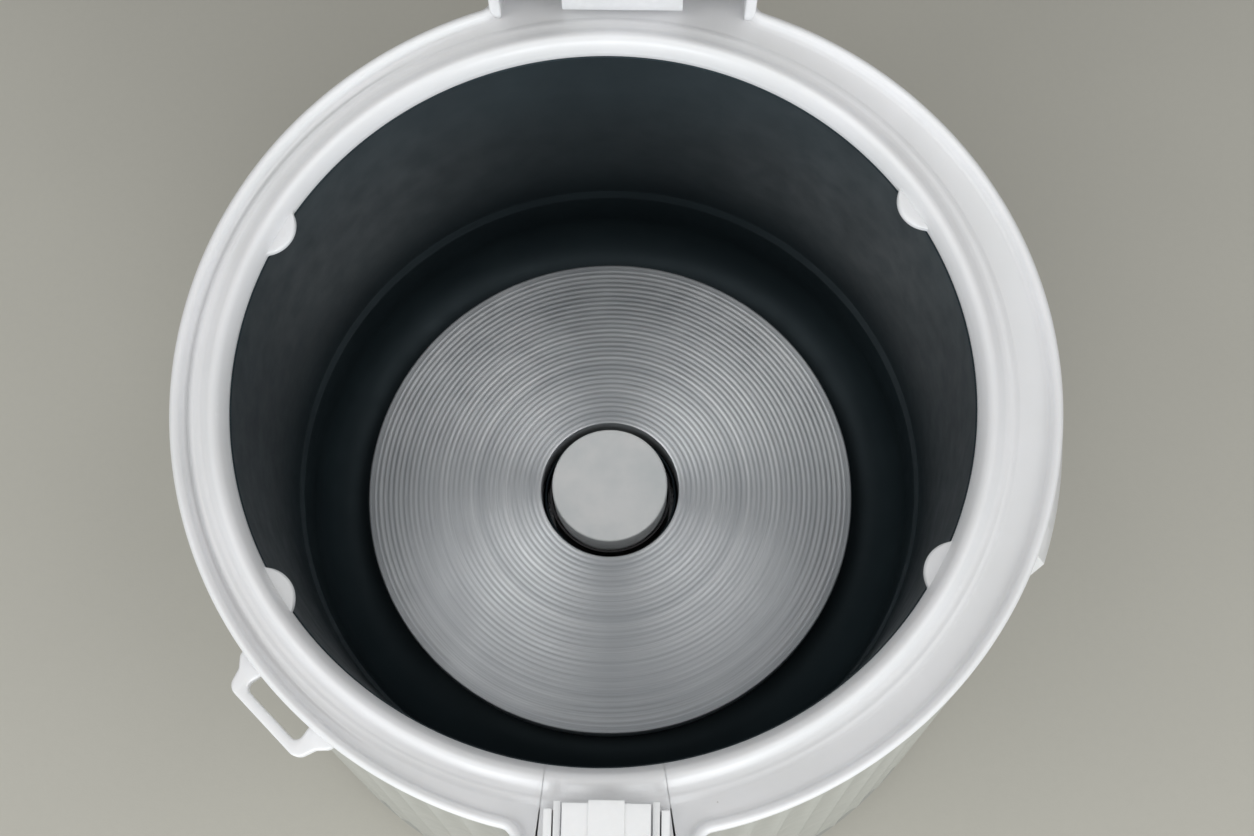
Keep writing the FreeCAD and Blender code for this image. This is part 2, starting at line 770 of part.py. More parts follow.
def plate_screws():
    """The screws that draw the plate's feet down on the casing floor."""
    screws = []
    for i, (x, y) in enumerate(ring_places(3, 66, 30, WELL_X)):
        head = cylinder("plate_screw_head_%d" % i, 3.5, CASING_UNDER - 2.6, CASING_UNDER, x, y)
        shank = cylinder("plate_screw_shank_%d" % i, 1.95, CASING_UNDER - 1, PLATE_TOP - 5, x, y)
        screws.append(fuse("plate_screw_%d" % i, head, shank))
    node(group("plate_screws", *screws), "plate_screws")


def heating_element():
    """The tubular element: an open ring in the plate with two ends turned down."""
    ring = DOCUMENT.addObject("Part::Torus", "element_ring_tube")
    bind(ring, Radius1=ELEMENT_RING, Radius2=ELEMENT_RADIUS)
    ring.Angle3 = 340
    place(ring, WELL_X, 0, PLATE_LOW + 2.5)
    ring.Placement.Rotation = FreeCAD.Rotation(FreeCAD.Vector(0, 0, 1), 100)
    leads = [
        cylinder("element_lead_%d" % i, ELEMENT_RADIUS - 1, 42, PLATE_LOW + 2.5, x, y)
        for i, (x, y) in enumerate(terminal_places())
    ]
    node(fuse("heating_element", ring, *leads), "heating_element")


def lead_insulators():
    """Ceramic bushes where the element's ends pass the casing floor."""
    inner = ELEMENT_RADIUS - 1 + GAP
    bushes = [
        tube("lead_insulator_%d" % i, 4.8, inner, CASING_FLOOR - 4, CASING_FLOOR + 0.8, x, y)
        for i, (x, y) in enumerate(terminal_places())
    ]
    node(group("lead_insulators", *bushes), "lead_insulators")


def warm_band():
    """The flat keep-warm heater wrapped round the casing."""
    band = tube("warm_band", CASING_RADIUS + 2.4, CASING_RADIUS + 1.1, 112, 140, WELL_X)
    node(band, "keep_warm_band")


def thermal_fuse():
    """The one-shot fuse clipped under the casing floor."""
    barrel = cylinder("fuse_barrel", 2.8, -46, -26, -38, CASING_UNDER - 3.2, "X")
    legs = cylinder("fuse_legs", 0.6, -54, -18, -38, CASING_UNDER - 3.2, "X")
    clip = box("fuse_clip", (-39, -33), (-42, -34), (CASING_UNDER - 0.9, CASING_UNDER - 0.1))
    node(fuse("thermal_fuse", barrel, legs, clip), "thermal_fuse")


# ---------------------------------------------------------------- sensor and cook lever

def sensor_bracket():
    """The plate hung under the casing floor that carries the sleeve and the sensor spring."""
    high = BRACKET_LOW + BRACKET_THICK
    plate = box("bracket_plate", (WELL_X - 32, WELL_X + 32), (-26, 26), (BRACKET_LOW, high))
    hole = cylinder("bracket_hole", 2.6, BRACKET_LOW - 1, high + 1, WELL_X)
    legs = [
        cylinder("bracket_leg_%d%d" % (i, k), 2.5, BRACKET_LOW, CASING_UNDER, WELL_X + x, y)
        for i, x in enumerate((-28, 28))
        for k, y in enumerate((-22, 22))
    ]
    node(cut("sensor_bracket", fuse("bracket_all", plate, *legs), hole), "sensor_bracket")


def sensor_sleeve():
    low = BRACKET_LOW + BRACKET_THICK
    sleeve = tube("sensor_sleeve", SLEEVE_RADIUS, SLEEVE_RADIUS - 0.6, low, CASING_FLOOR + 8, WELL_X)
    node(sleeve, "sensor_sleeve")


def sensor_cap():
    """The aluminium cap that the pot presses, with the magnet it carries."""
    cap = turned(
        "cap_cup",
        [
            (0, CAP_TOP),
            (CAP_RADIUS, CAP_TOP),
            (CAP_RADIUS, CASING_FLOOR + 3),
            (CAP_RADIUS - 0.8, CASING_FLOOR + 3),
            (CAP_RADIUS - 0.8, CAP_TOP - 1),
            (0, CAP_TOP - 1),
        ],
        WELL_X,
    )
    round_circles(cap, "cap_round", [(CAP_RADIUS, CAP_TOP)], 0.95)
    node(cap, "sensor_cap")
    ferrite = tube("sensor_ferrite", 13.5, 3.5, CAP_TOP - 7.8, CAP_TOP - 1, WELL_X)
    node(ferrite, "sensor_ferrite")
    low = BRACKET_LOW + BRACKET_THICK + 0.1
    springs = [
        coil("sensor_spring_%d" % i, 2, 0.35, low, CAP_TOP - 1.1, 10, WELL_X.value + x)
        for i, x in enumerate((-16.05, 16.05))
    ]
    node(group("sensor_spring", *springs), "sensor_spring")


def lift_magnet():
    """The magnet that the cook lever raises against the ferrite, on its rod."""
    magnet = tube("lift_magnet_ring", 12.8, 2.05, 54, 63, WELL_X)
    node(magnet, "lift_magnet")
    rod = cylinder("lift_rod_bar", 2, LEVER_Z + 3.35, 64, WELL_X)
    stop = cylinder("lift_rod_collar", 4, 52.6, 53.95, WELL_X)
    cap = cylinder("lift_rod_head", 3.2, 63.05, 64, WELL_X)
    node(fuse("lift_rod", rod, stop, cap), "lift_rod")


def cook_lever():
    """The rocker under the sensor and the key on its front end."""
    half = 4
    arm = box(
        "lever_arm",
        (WELL_X - half, WELL_X + half),
        (-130, 4),
        (LEVER_Z - 3, LEVER_Z + 3),
    )
    hub = cylinder("lever_hub", 5, WELL_X - half, WELL_X + half, LEVER_Y, LEVER_Z, "X")
    hole = cylinder("lever_hole", 2 + GAP, WELL_X - 10, WELL_X + 10, LEVER_Y, LEVER_Z, "X")
    node(cut("cook_lever", fuse("lever_blank", arm, hub), hole), "cook_lever")
    key_box = box("key_box", (-12, 12), (-142, -130.05), (39, 53))
    key_round = cylinder("key_round", FRONT_RADIUS + 2.6, 39, 53)
    key_neck = box("key_neck", (-8, 2), (-133, -130.05), (31, 44))
    lip = box("key_lip", (-10, 10), (-143.2, -138), (50.2, 53))
    node(fuse("cook_key", common("key_face", key_box, key_round), key_neck, lip), "cook_key")


def lever_stand():
    """The two ears on the base cover that carry the lever pin."""
    ears = []
    for i, x in enumerate((-9, 6)):
        ears.append(box("stand_ear_%d" % i, (WELL_X + x, WELL_X + x + 3), (-66, -54), (6.5, 38)))
    foot = box("stand_foot", (WELL_X - 9, WELL_X + 9), (-70, -50), (6.5, 8.5))
    hole = cylinder("stand_hole", 2 + GAP, -30, 30, LEVER_Y, LEVER_Z, "X")
    node(cut("lever_stand", fuse("stand_blank", foot, *ears), hole), "lever_stand")
    pin = cylinder("lever_pin", 2, WELL_X - 11, WELL_X + 11, LEVER_Y, LEVER_Z, "X")
    node(pin, "lever_pin")
    spring = coil("lever_spring", 3.1, 0.5, 6.6, LEVER_Z.value - 3.1, 10, WELL_X.value, -95)
    node(spring, "lever_spring")


def main_switch():
    """The switch that the lever works, on its own foot beside the arm."""
    case = box("switch_case", (4, 14), (-46, -26), (6.5, 24))
    contact_arm = box("switch_arm", (-6.5, 9), (-42, -38), (26.6, 27.4))
    stem = box("switch_stem", (7, 9), (-42, -38), (24, 27.4))
    tags = [
        box("switch_tag_%d" % i, (14, 19), (y, y + 4), (12, 12.8)) for i, y in enumerate((-44, -34))
    ]
    node(fuse("main_switch", case, contact_arm, stem, *tags), "main_switch")


def terminal_block():
    """The block on the base cover where the mains wires join the heater's."""
    block = box("terminal_body", (48, 62), (18, 48), (6.5, 18))
    screws = [
        cylinder("terminal_screw_hole_%d" % i, 2, 12, 19, 55, y) for i, y in enumerate((24, 33, 42))
    ]
    node(cut("terminal_block", block, *screws), "terminal_block")
    heads = [cylinder("terminal_screw_%d" % i, 1.95, 12, 17, 55, y) for i, y in enumerate((24, 33, 42))]
    node(group("terminal_screws", *heads), "terminal_screws")


def rounded_path(points, radius):
    """Straight runs joined by tangent arcs."""
    edges = []
    start = points[0]
    for before, corner, after in zip(points, points[1:], points[2:]):
        into = (corner - before).normalize()
        out = (after - corner).normalize()
        half_turn = into.getAngle(out) / 2
        reach = radius * math.tan(half_turn)
        first = corner - into * reach
        last = corner + out * reach
        bisector = (out - into).normalize()
        middle = corner + bisector * (radius / math.cos(half_turn) - radius)
        edges.append(Part.LineSegment(start, first).toShape())
        edges.append(Part.Arc(first, middle, last).toShape())
        start = last
    edges.append(Part.LineSegment(start, points[-1]).toShape())
    return Part.Wire(edges)


def wiring():
    """The insulated wires, each a tube along its own route."""
    wire_radius, bend = 1.3, 6
    routes = {
        "live_wire": [(102.5, -10, 125), (108, -34, 122), (108, -34, 40), (72, 10, 12), (64, 24, 12)],
        "neutral_wire": [(102.5, 10, 125), (109, 34, 118), (109, 34, 40), (84, 44, 12), (64, 42, 12)],
        "switch_wire": [(46.3, 24, 12), (36, 4, 12), (30, -20, 12), (20.6, -42, 11)],
        "heater_wire": [(46.3, 42, 14), (34, 52, 24), (12, 50, 30), (6, 54, 40)],
        "lamp_wire": [(20, -32, 11), (34, -60, 12), (30, -96, 14), (12, -112, 40), (8, -119, 80)],
    }
    wires = []
    for name, points in routes.items():
        corners = [FreeCAD.Vector(*p) for p in points]
        path = rounded_path(corners, bend)
        direction = (corners[1] - corners[0]).normalize()
        section = Part.Wire([Part.Circle(corners[0], direction, wire_radius).toShape()])
        thing = DOCUMENT.addObject("Part::Feature", name + "_tube")
        thing.Shape = path.makePipeShell([section], True, False)
        thing.Placement = FreeCAD.Placement()
        wires.append(thing)
    node(group("wiring_harness", *wires), "wiring_harness")


# ---------------------------------------------------------------- latch

def latch():
    """The open button, its spring, and the hook it turns in the latch housing."""
    cap = common(
        "button_cap",
        box("button_cap_box", (-14.1, 14.1), (-142, -133), (148.2, 169.8)),
        cylinder("button_cap_round", FRONT_RADIUS + 2, 148.2, 169.8),
    )
    flange = box("button_flange", (-16, 16), (-133.3, -131.7), (146.4, 171.6))
    stem = cylinder("button_stem", 1.8, -132, -127.4, 0, 161, "Y")
    node(fuse("open_button", cap, flange, stem), "open_button")
    springs = [
        coil("button_spring_%d" % i, 2.6, 0.35, -131.7, -120.6, 5, x, 152, "Y")
        for i, x in enumerate((-10, 10))
    ]
    node(group("button_springs", *springs), "button_springs")

    seat = box("latch_seat", (-19, 19), (-120.5, -118.7), (146, SKIRT_LOW - 0.5))
    window = box("latch_window", (-7, 7), (-121, -118), (155, SKIRT_LOW))
    shelf = [
        box("latch_shelf_%d" % i, (x, x + 3), (-123.5, -118.7), (172, SKIRT_LOW - 0.5))
        for i, x in enumerate((-10.3, 7.3))
    ]
    pin_hole = cylinder("latch_pin_hole", 1.5 + GAP, -12, 12, HOOK_Y, HOOK_Z, "X")
    blank = fuse("latch_bracket_blank", seat, *shelf)
    node(cut("latch_bracket", blank, window, pin_hole), "latch_bracket")

    cheeks = []
    for side in (-1, 1):
        for label, near, far, front in (("inner", 11.3, 13, -110.4), ("outer", 13.4, 15.4, -112.3)):
            wide = sorted((side * near, side * far))
            name = "cheek_%s_%s" % (label, "right" if side > 0 else "left")
            high = (FLOOR_TOP + 0.05, FLOOR_TOP + 9.4)
            cheeks.append(box(name, wide, (-130.8, front), high))
    low = (FLOOR_TOP + 0.05, FLOOR_TOP + 4)
    bridge = box("cheek_bridge", (-15.4, 15.4), (-131, -128.3), low)
    relief = cylinder("cheek_relief", INNER_LIP + 7.2, FLOOR_TOP - 1, FLOOR_TOP + 1.6, WELL_X)
    node(cut("latch_cheeks", fuse("cheek_blank", bridge, *cheeks), relief), "latch_cheeks")

    head = box("hook_head", (-10.8, 10.8), (-124, -111), (FLOOR_TOP + 8.2, FLOOR_TOP + 12))
    nose = box("hook_nose", (-4.4, 4.4), (-124, -110.3), (FLOOR_TOP + 8.2, FLOOR_TOP + 12.6))
    stalk = box("hook_stalk", (-6, 6), (-124, -119.6), (HOOK_Z - 4, FLOOR_TOP + 9))
    arm = box("hook_arm", (-4, 4), (-126.7, -124), (157, HOOK_Z))
    hole = cylinder("hook_hole", 1.5 + GAP, -12, 12, HOOK_Y, HOOK_Z, "X")
    heel = box("hook_heel", (-6, 6), (-126.7, -122), (HOOK_Z - 4, HOOK_Z + 3))
    node(cut("latch_hook", fuse("hook_blank", head, nose, stalk, arm, heel), hole), "latch_hook")
    pin = cylinder("latch_pin", 1.5, -10.2, 10.2, HOOK_Y, HOOK_Z, "X")
    node(pin, "latch_pin")


# ---------------------------------------------------------------- lid

def hinge():
    """The pin through the ears and the knuckle, and the two springs that lift the lid."""
    reach = HINGE_INNER + HINGE_WALL + 1
    pin = cylinder("hinge_pin", HINGE_PIN, -reach, reach, HINGE_Y, HINGE_Z, "X")
    node(pin, "hinge_pin")
    springs = [
        coil("hinge_spring_%d" % i, 3.1, 0.5, start, start + 14, 8, HINGE_Y.value, HINGE_Z.value, "X")
        for i, start in enumerate((-34.4, 20.4))
    ]
    node(group("hinge_springs", *springs), "hinge_springs")


def lid_shell():
    """The lid's outer cover, with the hinge knuckle at the back and a notch for the hook."""
    wall = LID_WALL
    body = turned(
        "lid_dome",
        [
            (LID_RADIUS, LID_LOW),
            (LID_RADIUS - 1.4, LID_TOP - 33),
            (96, LID_TOP - 5.5),
            (0, LID_TOP),
            (0, LID_TOP - wall),
            (95, LID_TOP - wall - 5.5),
            (LID_RADIUS - 1.4 - wall, LID_TOP - 34),
            (LID_RADIUS - wall, LID_LOW),
        ],
    )
    round_circles(body, "lid_shoulder", [(LID_RADIUS - 1.4, LID_TOP - 33)], 16)
    round_circles(body, "lid_crown", [(96, LID_TOP - 5.5)], 16)
    vent = cylinder("lid_vent_hole", 17.2, LID_TOP - 30, LID_TOP + 5, 0, 28)
    notch = box("lid_notch", (-17, 17), (-125, -108.4), (LID_LOW - 1, LID_LOW + 13.5))
    knuckle = cylinder("lid_knuckle", KNUCKLE_RADIUS, -KNUCKLE_HALF, KNUCKLE_HALF, HINGE_Y, HINGE_Z, "X")
    web = box(
        "lid_web",
        (-KNUCKLE_HALF, KNUCKLE_HALF),
        (LID_RADIUS - 2.4, HINGE_Y),
        (HINGE_Z, HINGE_Z + KNUCKLE_RADIUS),
    )
    bore = cylinder("lid_bore", HINGE_PIN + GAP, -60, 60, HINGE_Y, HINGE_Z, "X")
    blank = fuse("lid_blank", body, knuckle, web)
    node(cut("lid_shell", blank, vent, notch, bore), "lid_shell", lid=True)


def lid_liner():
    """The lid's inner cover, with a post for the inner plate and the steam pipe."""
    low = LINER_LOW
    body = turned(
        "liner_disc",
        [
            (0, low),
            (112.6, low),
            (112.6, low + 2),
            (0, low + 2),
        ],
    )
    post = cylinder("liner_post", 5, low - 8, low + 1)
    steam_pipe = cylinder("liner_steam_pipe", 14, low + 1, LID_TOP - 13, 0, 28)
    bosses = [
        cylinder("liner_boss_%d" % i, 4, low + 1, low + 14, x, y)
        for i, (x, y) in enumerate(ring_places(4, 94, 45))
    ]
    screw_holes = [
        cylinder("liner_screw_hole_%d" % i, 1.55, low - 1, low + 12, x, y)
        for i, (x, y) in enumerate(ring_places(4, 94, 45))
    ]
    bore = cylinder("liner_steam_bore", 6, low - 1, LID_TOP, 0, 28)
    cup = cylinder("liner_steam_cup", 11.5, low + 8, LID_TOP, 0, 28)
    front = box("liner_front_notch", (-17.5, 17.5), (-125, -107.9), (low - 4, low + 4))
    back = box("liner_back_notch", (-18.2, 18.2), (109.6, 125), (low - 4, low + 4))
    blank = fuse("liner_blank", body, post, steam_pipe, *bosses)
    tools = screw_holes + [bore, cup, front, back]
    node(cut("lid_liner", blank, *tools), "lid_liner", lid=True)


def lid_catch():
    """The bar in the lid's notch that the hook holds."""
    bar = box("catch_bar", (-16, 16), (-107.7, -105.6), (LINER_LOW + 2.05, LINER_LOW + 9))
    ledge = box("catch_ledge", (-13, 13), (-109.6, -107.7), (LINER_LOW + 2.4, LINER_LOW + 4))
    node(fuse("lid_catch", bar, ledge), "lid_catch", lid=True)


def lid_screws():
    screws = []
    for i, (x, y) in enumerate(ring_places(4, 94, 45)):
        head = cylinder("lid_screw_head_%d" % i, 2.9, LINER_LOW - 1.8, LINER_LOW, x, y)
        shank = cylinder("lid_screw_shank_%d" % i, 1.5, LINER_LOW - 1, LINER_LOW + 11, x, y)
        screws.append(fuse("lid_screw_%d" % i, head, shank))
    node(group("lid_screws", *screws), "lid_screws", lid=True)


def inner_lid_plate():
    """The loose aluminium plate that closes the pot, with its steam holes."""
    low = LINER_LOW - 6.4
    body = turned(
        "inner_plate_disc",
        [
            (0, low),
            (60, low),
            (68, low + 1.6),
            (89, low + 1.6),
            (89, low + 2.6),
            (67, low + 2.6),
            (59, low + 1),
            (0, low + 1),
        ],
    )
    holes = [cylinder("inner_plate_hole_post", 5.6, low - 2, low + 3)]
    holes += [
        cylinder("inner_plate_steam_%d" % i, 1.6, low - 2, low + 3, x, y + 28)
        for i, (x, y) in enumerate(ring_places(6, 6, 0))
    ]
    node(cut("inner_lid_plate", body, *holes), "inner_lid_plate", lid=True)


def lid_gasket():
    """The silicone ring on the edge of the inner plate."""
    low = LINER_LOW - 6.4
    ring = turned(
        "gasket_ring",
        [
            (86.5, low + 0.3),
            (94, low - 1.4),
            (94.6, low - 0.6),
            (91.6, low + 1.4),
            (91.6, low + 4.2),
            (86.5, low + 4.2),
            (86.5, low + 2.65),
            (89.05, low + 2.65),
            (89.05, low + 1.55),
            (86.5, low + 1.55),
        ],
    )
    node(ring, "lid_gasket", lid=True)


def plate_grommet():
    """The rubber button that grips the post and holds the inner plate."""
    low = LINER_LOW - 6.4
    ring = turned(
        "grommet_ring",
        [
            (0, low - 2.6),
            (8, low - 2.6),
            (9.5, low - 1.4),
            (9.5, low - 0.05),
            (5.55, low - 0.05),
            (5.55, low + 1.05),
            (8.5, low + 1.05),
            (7.5, low + 3),
            (5.05, low + 3),
            (5.05, low - 1.6),
            (0, low - 1.6),
        ],
    )
    node(ring, "plate_grommet", lid=True)


def steam_cap():
    """The steam vent cap that lifts out of the lid, and its seal."""
    top = LID_TOP + 4.6
    disc = cylinder("steam_cap_disc", 21, LID_TOP + 0.4, top, 0, 28)
    skirt = tube("steam_cap_skirt", 16.6, 14.6, LID_TOP - 12, LID_TOP + 1, 0, 28)
    slots = [
        cylinder("steam_cap_hole_%d" % i, 1.8, LID_TOP - 5, top + 1, x, y + 28)
        for i, (x, y) in enumerate(ring_places(5, 7, 90))
    ]
    node(cut("steam_cap", fuse("steam_cap_blank", disc, skirt), *slots), "steam_cap", lid=True)
    seal = tube("steam_seal_tube", 19.2, 17.6, LID_TOP - 1.0, LID_TOP + 0.35, 0, 28)
    crown = cone("steam_seal_lid", 300, 0.1, LID_TOP - 17.6, LID_TOP + 0.06)
    node(cut("steam_seal_ring", seal, crown), "steam_seal", lid=True)


# ---------------------------------------------------------------- build and write

BUILDERS = (
    outer_shell,
    top_collar,
    spoon_loop,
    front_housing,
    lamp_lenses,
    lamp_board,
    inlet_housing,
    power_inlet,
    inlet_blades,
    inlet_screws,
    base_cover,
    foot_ring,
    casing_posts,
    base_screws,
    inner_casing,
    heating_plate,
    plate_screws,
    heating_element,
    lead_insulators,
    warm_band,
    thermal_fuse,
    sensor_bracket,
    sensor_sleeve,
    sensor_cap,
    lift_magnet,
    cook_lever,
    lever_stand,
    main_switch,
    terminal_block,
    wiring,
    latch,
    hinge,
    lid_shell,
    lid_liner,
    lid_catch,
    lid_screws,
    inner_lid_plate,
    lid_gasket,
    plate_grommet,
    steam_cap,
)


def check():
    """Stops the script if any object failed or any sub-part has no sound shape."""
    for thing in DOCUMENT.Objects:
        bad = [state for state in thing.State if state in ("Invalid", "Error")]
        if bad:
            raise RuntimeError("%s (%s) is %s" % (thing.Name, thing.Label, bad))
    for thing in NODES:
        if thing.Shape.isNull() or not thing.Shape.isValid() or not thing.Shape.Solids:
            raise RuntimeError("%s has no sound shape" % thing.Label)


for build in BUILDERS:
    build()
DOCUMENT.recompute()
check()
os.makedirs("parts", exist_ok=True)
for thing in NODES:
    thing.Shape.exportStep("parts/%s.step" % thing.Label)
    bounds = thing.Shape.BoundBox
    print(
        "%-18s %2d solid(s) %10.0f mm3  x %.1f..%.1f  y %.1f..%.1f  z %.1f..%.1f"
        % (
            thing.Label,
            len(thing.Shape.Solids),
            thing.Shape.Volume,
            bounds.XMin,
            bounds.XMax,
            bounds.YMin,
            bounds.YMax,
            bounds.ZMin,
            bounds.ZMax,
        )
    )
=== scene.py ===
import json
import math

import bmesh
import bpy
from mathutils import Matrix, Vector

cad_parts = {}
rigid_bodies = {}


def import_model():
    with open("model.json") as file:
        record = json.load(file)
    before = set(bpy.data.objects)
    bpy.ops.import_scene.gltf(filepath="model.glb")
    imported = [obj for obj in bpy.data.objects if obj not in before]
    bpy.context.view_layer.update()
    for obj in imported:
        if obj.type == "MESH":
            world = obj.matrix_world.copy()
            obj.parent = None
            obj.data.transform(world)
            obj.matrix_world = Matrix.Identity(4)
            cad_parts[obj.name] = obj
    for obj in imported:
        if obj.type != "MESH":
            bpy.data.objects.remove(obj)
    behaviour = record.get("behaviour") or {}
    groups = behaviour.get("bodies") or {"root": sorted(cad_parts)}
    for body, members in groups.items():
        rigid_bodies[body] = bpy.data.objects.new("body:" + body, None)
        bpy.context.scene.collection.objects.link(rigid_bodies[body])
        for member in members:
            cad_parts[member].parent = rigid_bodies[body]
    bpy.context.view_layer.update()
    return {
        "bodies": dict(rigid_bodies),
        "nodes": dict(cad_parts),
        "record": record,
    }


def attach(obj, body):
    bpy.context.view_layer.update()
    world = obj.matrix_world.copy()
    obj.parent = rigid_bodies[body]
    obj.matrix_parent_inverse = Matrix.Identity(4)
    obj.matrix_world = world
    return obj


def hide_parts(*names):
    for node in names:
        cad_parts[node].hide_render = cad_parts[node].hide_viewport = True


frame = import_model()

# A jar rice cooker with its lid up and its pot out. Sizes are in millimetres unless a comment
# says otherwise, the table is at height 0 and the hinge is at the back, towards +Y.
MM = 0.001
WELL_X = -3.5  # the pot well's axis stands a little beside the body's
HINGE_Y, HINGE_Z = 118.5, 197.0  # the lid's pin

RIM_RADIUS = 119.8
FRONT_RADIUS, FRONT_HALF = 137.0, 23.5  # the block that carries the latch
REAR_BACK, REAR_HALF = 130.5, 38.5  # the block that carries the hinge
BLOCK_CORNER = 5.4
FLOOR_TOP = 188.0  # the flat floor between the collar's two lips
FLOOR_UNDER = 185.6
SKIRT_LOW = 183.5
LIP_FOOT = 4.4  # from the rim's edge to the foot of the outer lip
TONGUE_OUT, TONGUE_IN, TONGUE_LOW = 116.9, 114.4, 176.0  # the ring that stands in the shell
WELL_RADIUS, WELL_EDGE = 101.6, 184.45

SHELL_FOOT, SHELL_TOP, SHELL_WALL = 132.0, 120.0, 2.5  # radii at the foot and at the top
SHELL_LOW, SHELL_HIGH = 10.0, 183.0
FLUTES, FLUTE_DEPTH = 80, 0.95

CASING_RADIUS, CASING_WALL = 101.2, 0.8
CASING_FLOOR, CASING_HIGH = 60.0, 184.4
PLATE_RADIUS, PLATE_HOLE = 82.0, 23.3
PLATE_TOP, PLATE_LOW = 74.0, 62.0
CAP_RADIUS, CAP_TOP, CAP_LOW = 19.4, 79.8, 63.0


# ---------------------------------------------------------------- materials


class Finish:
    """A principled material built up node by node, in object coordinates."""

    def __init__(self, name):
        self.material = bpy.data.materials.new(name)
        self.material.use_nodes = True
        self.tree = self.material.node_tree
        self.shader = self.tree.nodes["Principled BSDF"]
        self.place = self.add("ShaderNodeTexCoord").outputs["Object"]

    def add(self, kind, *links, **settings):
        made = self.tree.nodes.new(kind)
        for key, value in settings.items():
            setattr(made, key, value)
        for socket, value in links:
            self.put(made.inputs[socket], value)
        return made

    def put(self, socket, value):
        """Links a socket's output, or sets a plain value."""
        if isinstance(value, bpy.types.NodeSocket):
            self.tree.links.new(value, socket)
        else:
            socket.default_value = value

    def set(self, **values):
        """Sets inputs of the shader; an underscore in a name stands for a space."""
        for key, value in values.items():
            self.put(self.shader.inputs[key.replace("_", " ")], value)

    def noise(self, size, detail=3.0, rough=0.55, place=None):
        """Noise with features about size millimetres across."""
        made = self.add(
            "ShaderNodeTexNoise",
            ("Vector", place or self.place),
            ("Scale", 1.0 / (size * MM)),
            ("Detail", detail),
            ("Roughness", rough),
        )
        return made.outputs["Fac"]

    def math(self, operation, a, b=0.0, c=0.0):
        made = self.add("ShaderNodeMath", (0, a), (1, b), (2, c), operation=operation)
        return made.outputs[0]

    def span(self, value, low, high, to_low=0.0, to_high=1.0):
        made = self.add(
            "ShaderNodeMapRange",
            ("Value", value),
            ("From Min", low),
            ("From Max", high),
            ("To Min", to_low),
            ("To Max", to_high),
        )
        return made.outputs["Result"]

    def mix(self, factor, a, b):
        made = self.add("ShaderNodeMix", data_type="RGBA")
        for index, value in ((0, factor), (6, a), (7, b)):
            self.put(made.inputs[index], value)
        return made.outputs[2]

    def stretched(self, x, y, z):
        made = self.add("ShaderNodeMapping", ("Vector", self.place), ("Scale", (x, y, z)))
        return made.outputs["Vector"]

    def bump(self, height, depth, under=None):
        """Relief of that depth in millimetres."""
        made = self.add("ShaderNodeBump", ("Height", height), ("Distance", depth * MM))
        made.inputs["Strength"].default_value = 1.0
        if under is not None:
            self.put(made.inputs["Normal"], under)
        return made.outputs["Normal"]


def tint(colour, gain):
    """A colour scaled channel by channel, with its alpha."""
    return tuple(min(1.0, c * g) for c, g in zip(colour, gain)) + (1.0,)


def plastic(name, colour, rough, grain=0.012, grain_size=0.35, coat=0.0, specks=0.5, glow=0.0):
    """Moulded plastic: slow colour drift, fine grain, rare dark specks, paler worn edges."""
    f = Finish(name)
    drift = f.span(f.noise(38, 4), 0.3, 0.7)
    base = f.mix(drift, tint(colour, (0.955, 0.96, 0.955)), tint(colour, (1.02, 1.02, 1.025)))
    edge = f.span(f.add("ShaderNodeNewGeometry").outputs["Pointiness"], 0.515, 0.57)
    worn = f.math("MULTIPLY", edge, f.span(f.noise(2.2, 3), 0.45, 0.7, 0.0, 0.35))
    base = f.mix(worn, base, tint(colour, (1.12, 1.12, 1.12)))
    dots = f.add("ShaderNodeTexVoronoi", ("Vector", f.place), ("Scale", 1.0 / (9 * MM)))
    dot = f.span(dots.outputs["Distance"], 0.018, 0.034, specks, 0.0)
    rare = f.span(f.noise(14, 2), 0.56, 0.6)
    base = f.mix(f.math("MULTIPLY", dot, rare), base, tint(colour, (0.45, 0.42, 0.38)))
    f.set(Base_Color=base)
    smears = f.noise(11, 5, 0.65)
    f.set(Roughness=f.span(smears, 0.25, 0.75, rough - 0.07, rough + 0.09))
    wavy = f.bump(f.noise(26, 1), 0.05)
    f.set(Normal=f.bump(f.noise(grain_size, 2), grain, wavy))
    f.set(Coat_Weight=coat, Coat_Roughness=0.12, IOR=1.49)
    if glow:
        f.set(Subsurface_Weight=glow, Subsurface_Scale=0.004, Subsurface_Radius=(1.0, 0.95, 0.9))
    return f.material


def metal(name, colour, rough, lines=(1, 1, 1), metallic=1.0, grain=0.01, stain=0.25):
    """Metal with directional scratches, patchy polish and a little tarnish."""
    f = Finish(name)
    streak = f.noise(1.1, 4, 0.6, f.stretched(*lines))
    cloud = f.span(f.noise(17, 4), 0.3, 0.72)
    base = f.mix(cloud, tint(colour, (0.86, 0.86, 0.87)), tint(colour, (1.04, 1.04, 1.04)))
    mark = f.span(f.noise(6, 5, 0.7), 0.6, 0.78, 0.0, stain)
    base = f.mix(mark, base, tint(colour, (0.55, 0.52, 0.48)))
    f.set(Base_Color=base, Metallic=metallic)
    f.set(Roughness=f.span(streak, 0.3, 0.7, rough - 0.08, rough + 0.1))
    f.set(Normal=f.bump(streak, grain))
    return f.material


def rubber(name, colour, rough, clear=0.0):
    """Matt rubber or silicone: uneven tone and a film of dust."""
    f = Finish(name)
    drift = f.span(f.noise(9, 4), 0.3, 0.7)
    base = f.mix(drift, tint(colour, (0.8, 0.8, 0.8)), tint(colour, (1.15, 1.15, 1.12)))
    dust = f.span(f.noise(1.3, 4, 0.7), 0.58, 0.75, 0.0, 0.3)
    f.set(Base_Color=f.mix(dust, base, tint(colour, (1.9, 1.85, 1.75))))
    f.set(Roughness=f.span(f.noise(4, 3), 0.3, 0.7, rough - 0.08, rough + 0.08))
    f.set(Normal=f.bump(f.noise(0.4, 3), 0.02), Subsurface_Weight=clear, Subsurface_Scale=0.003)
    return f.material


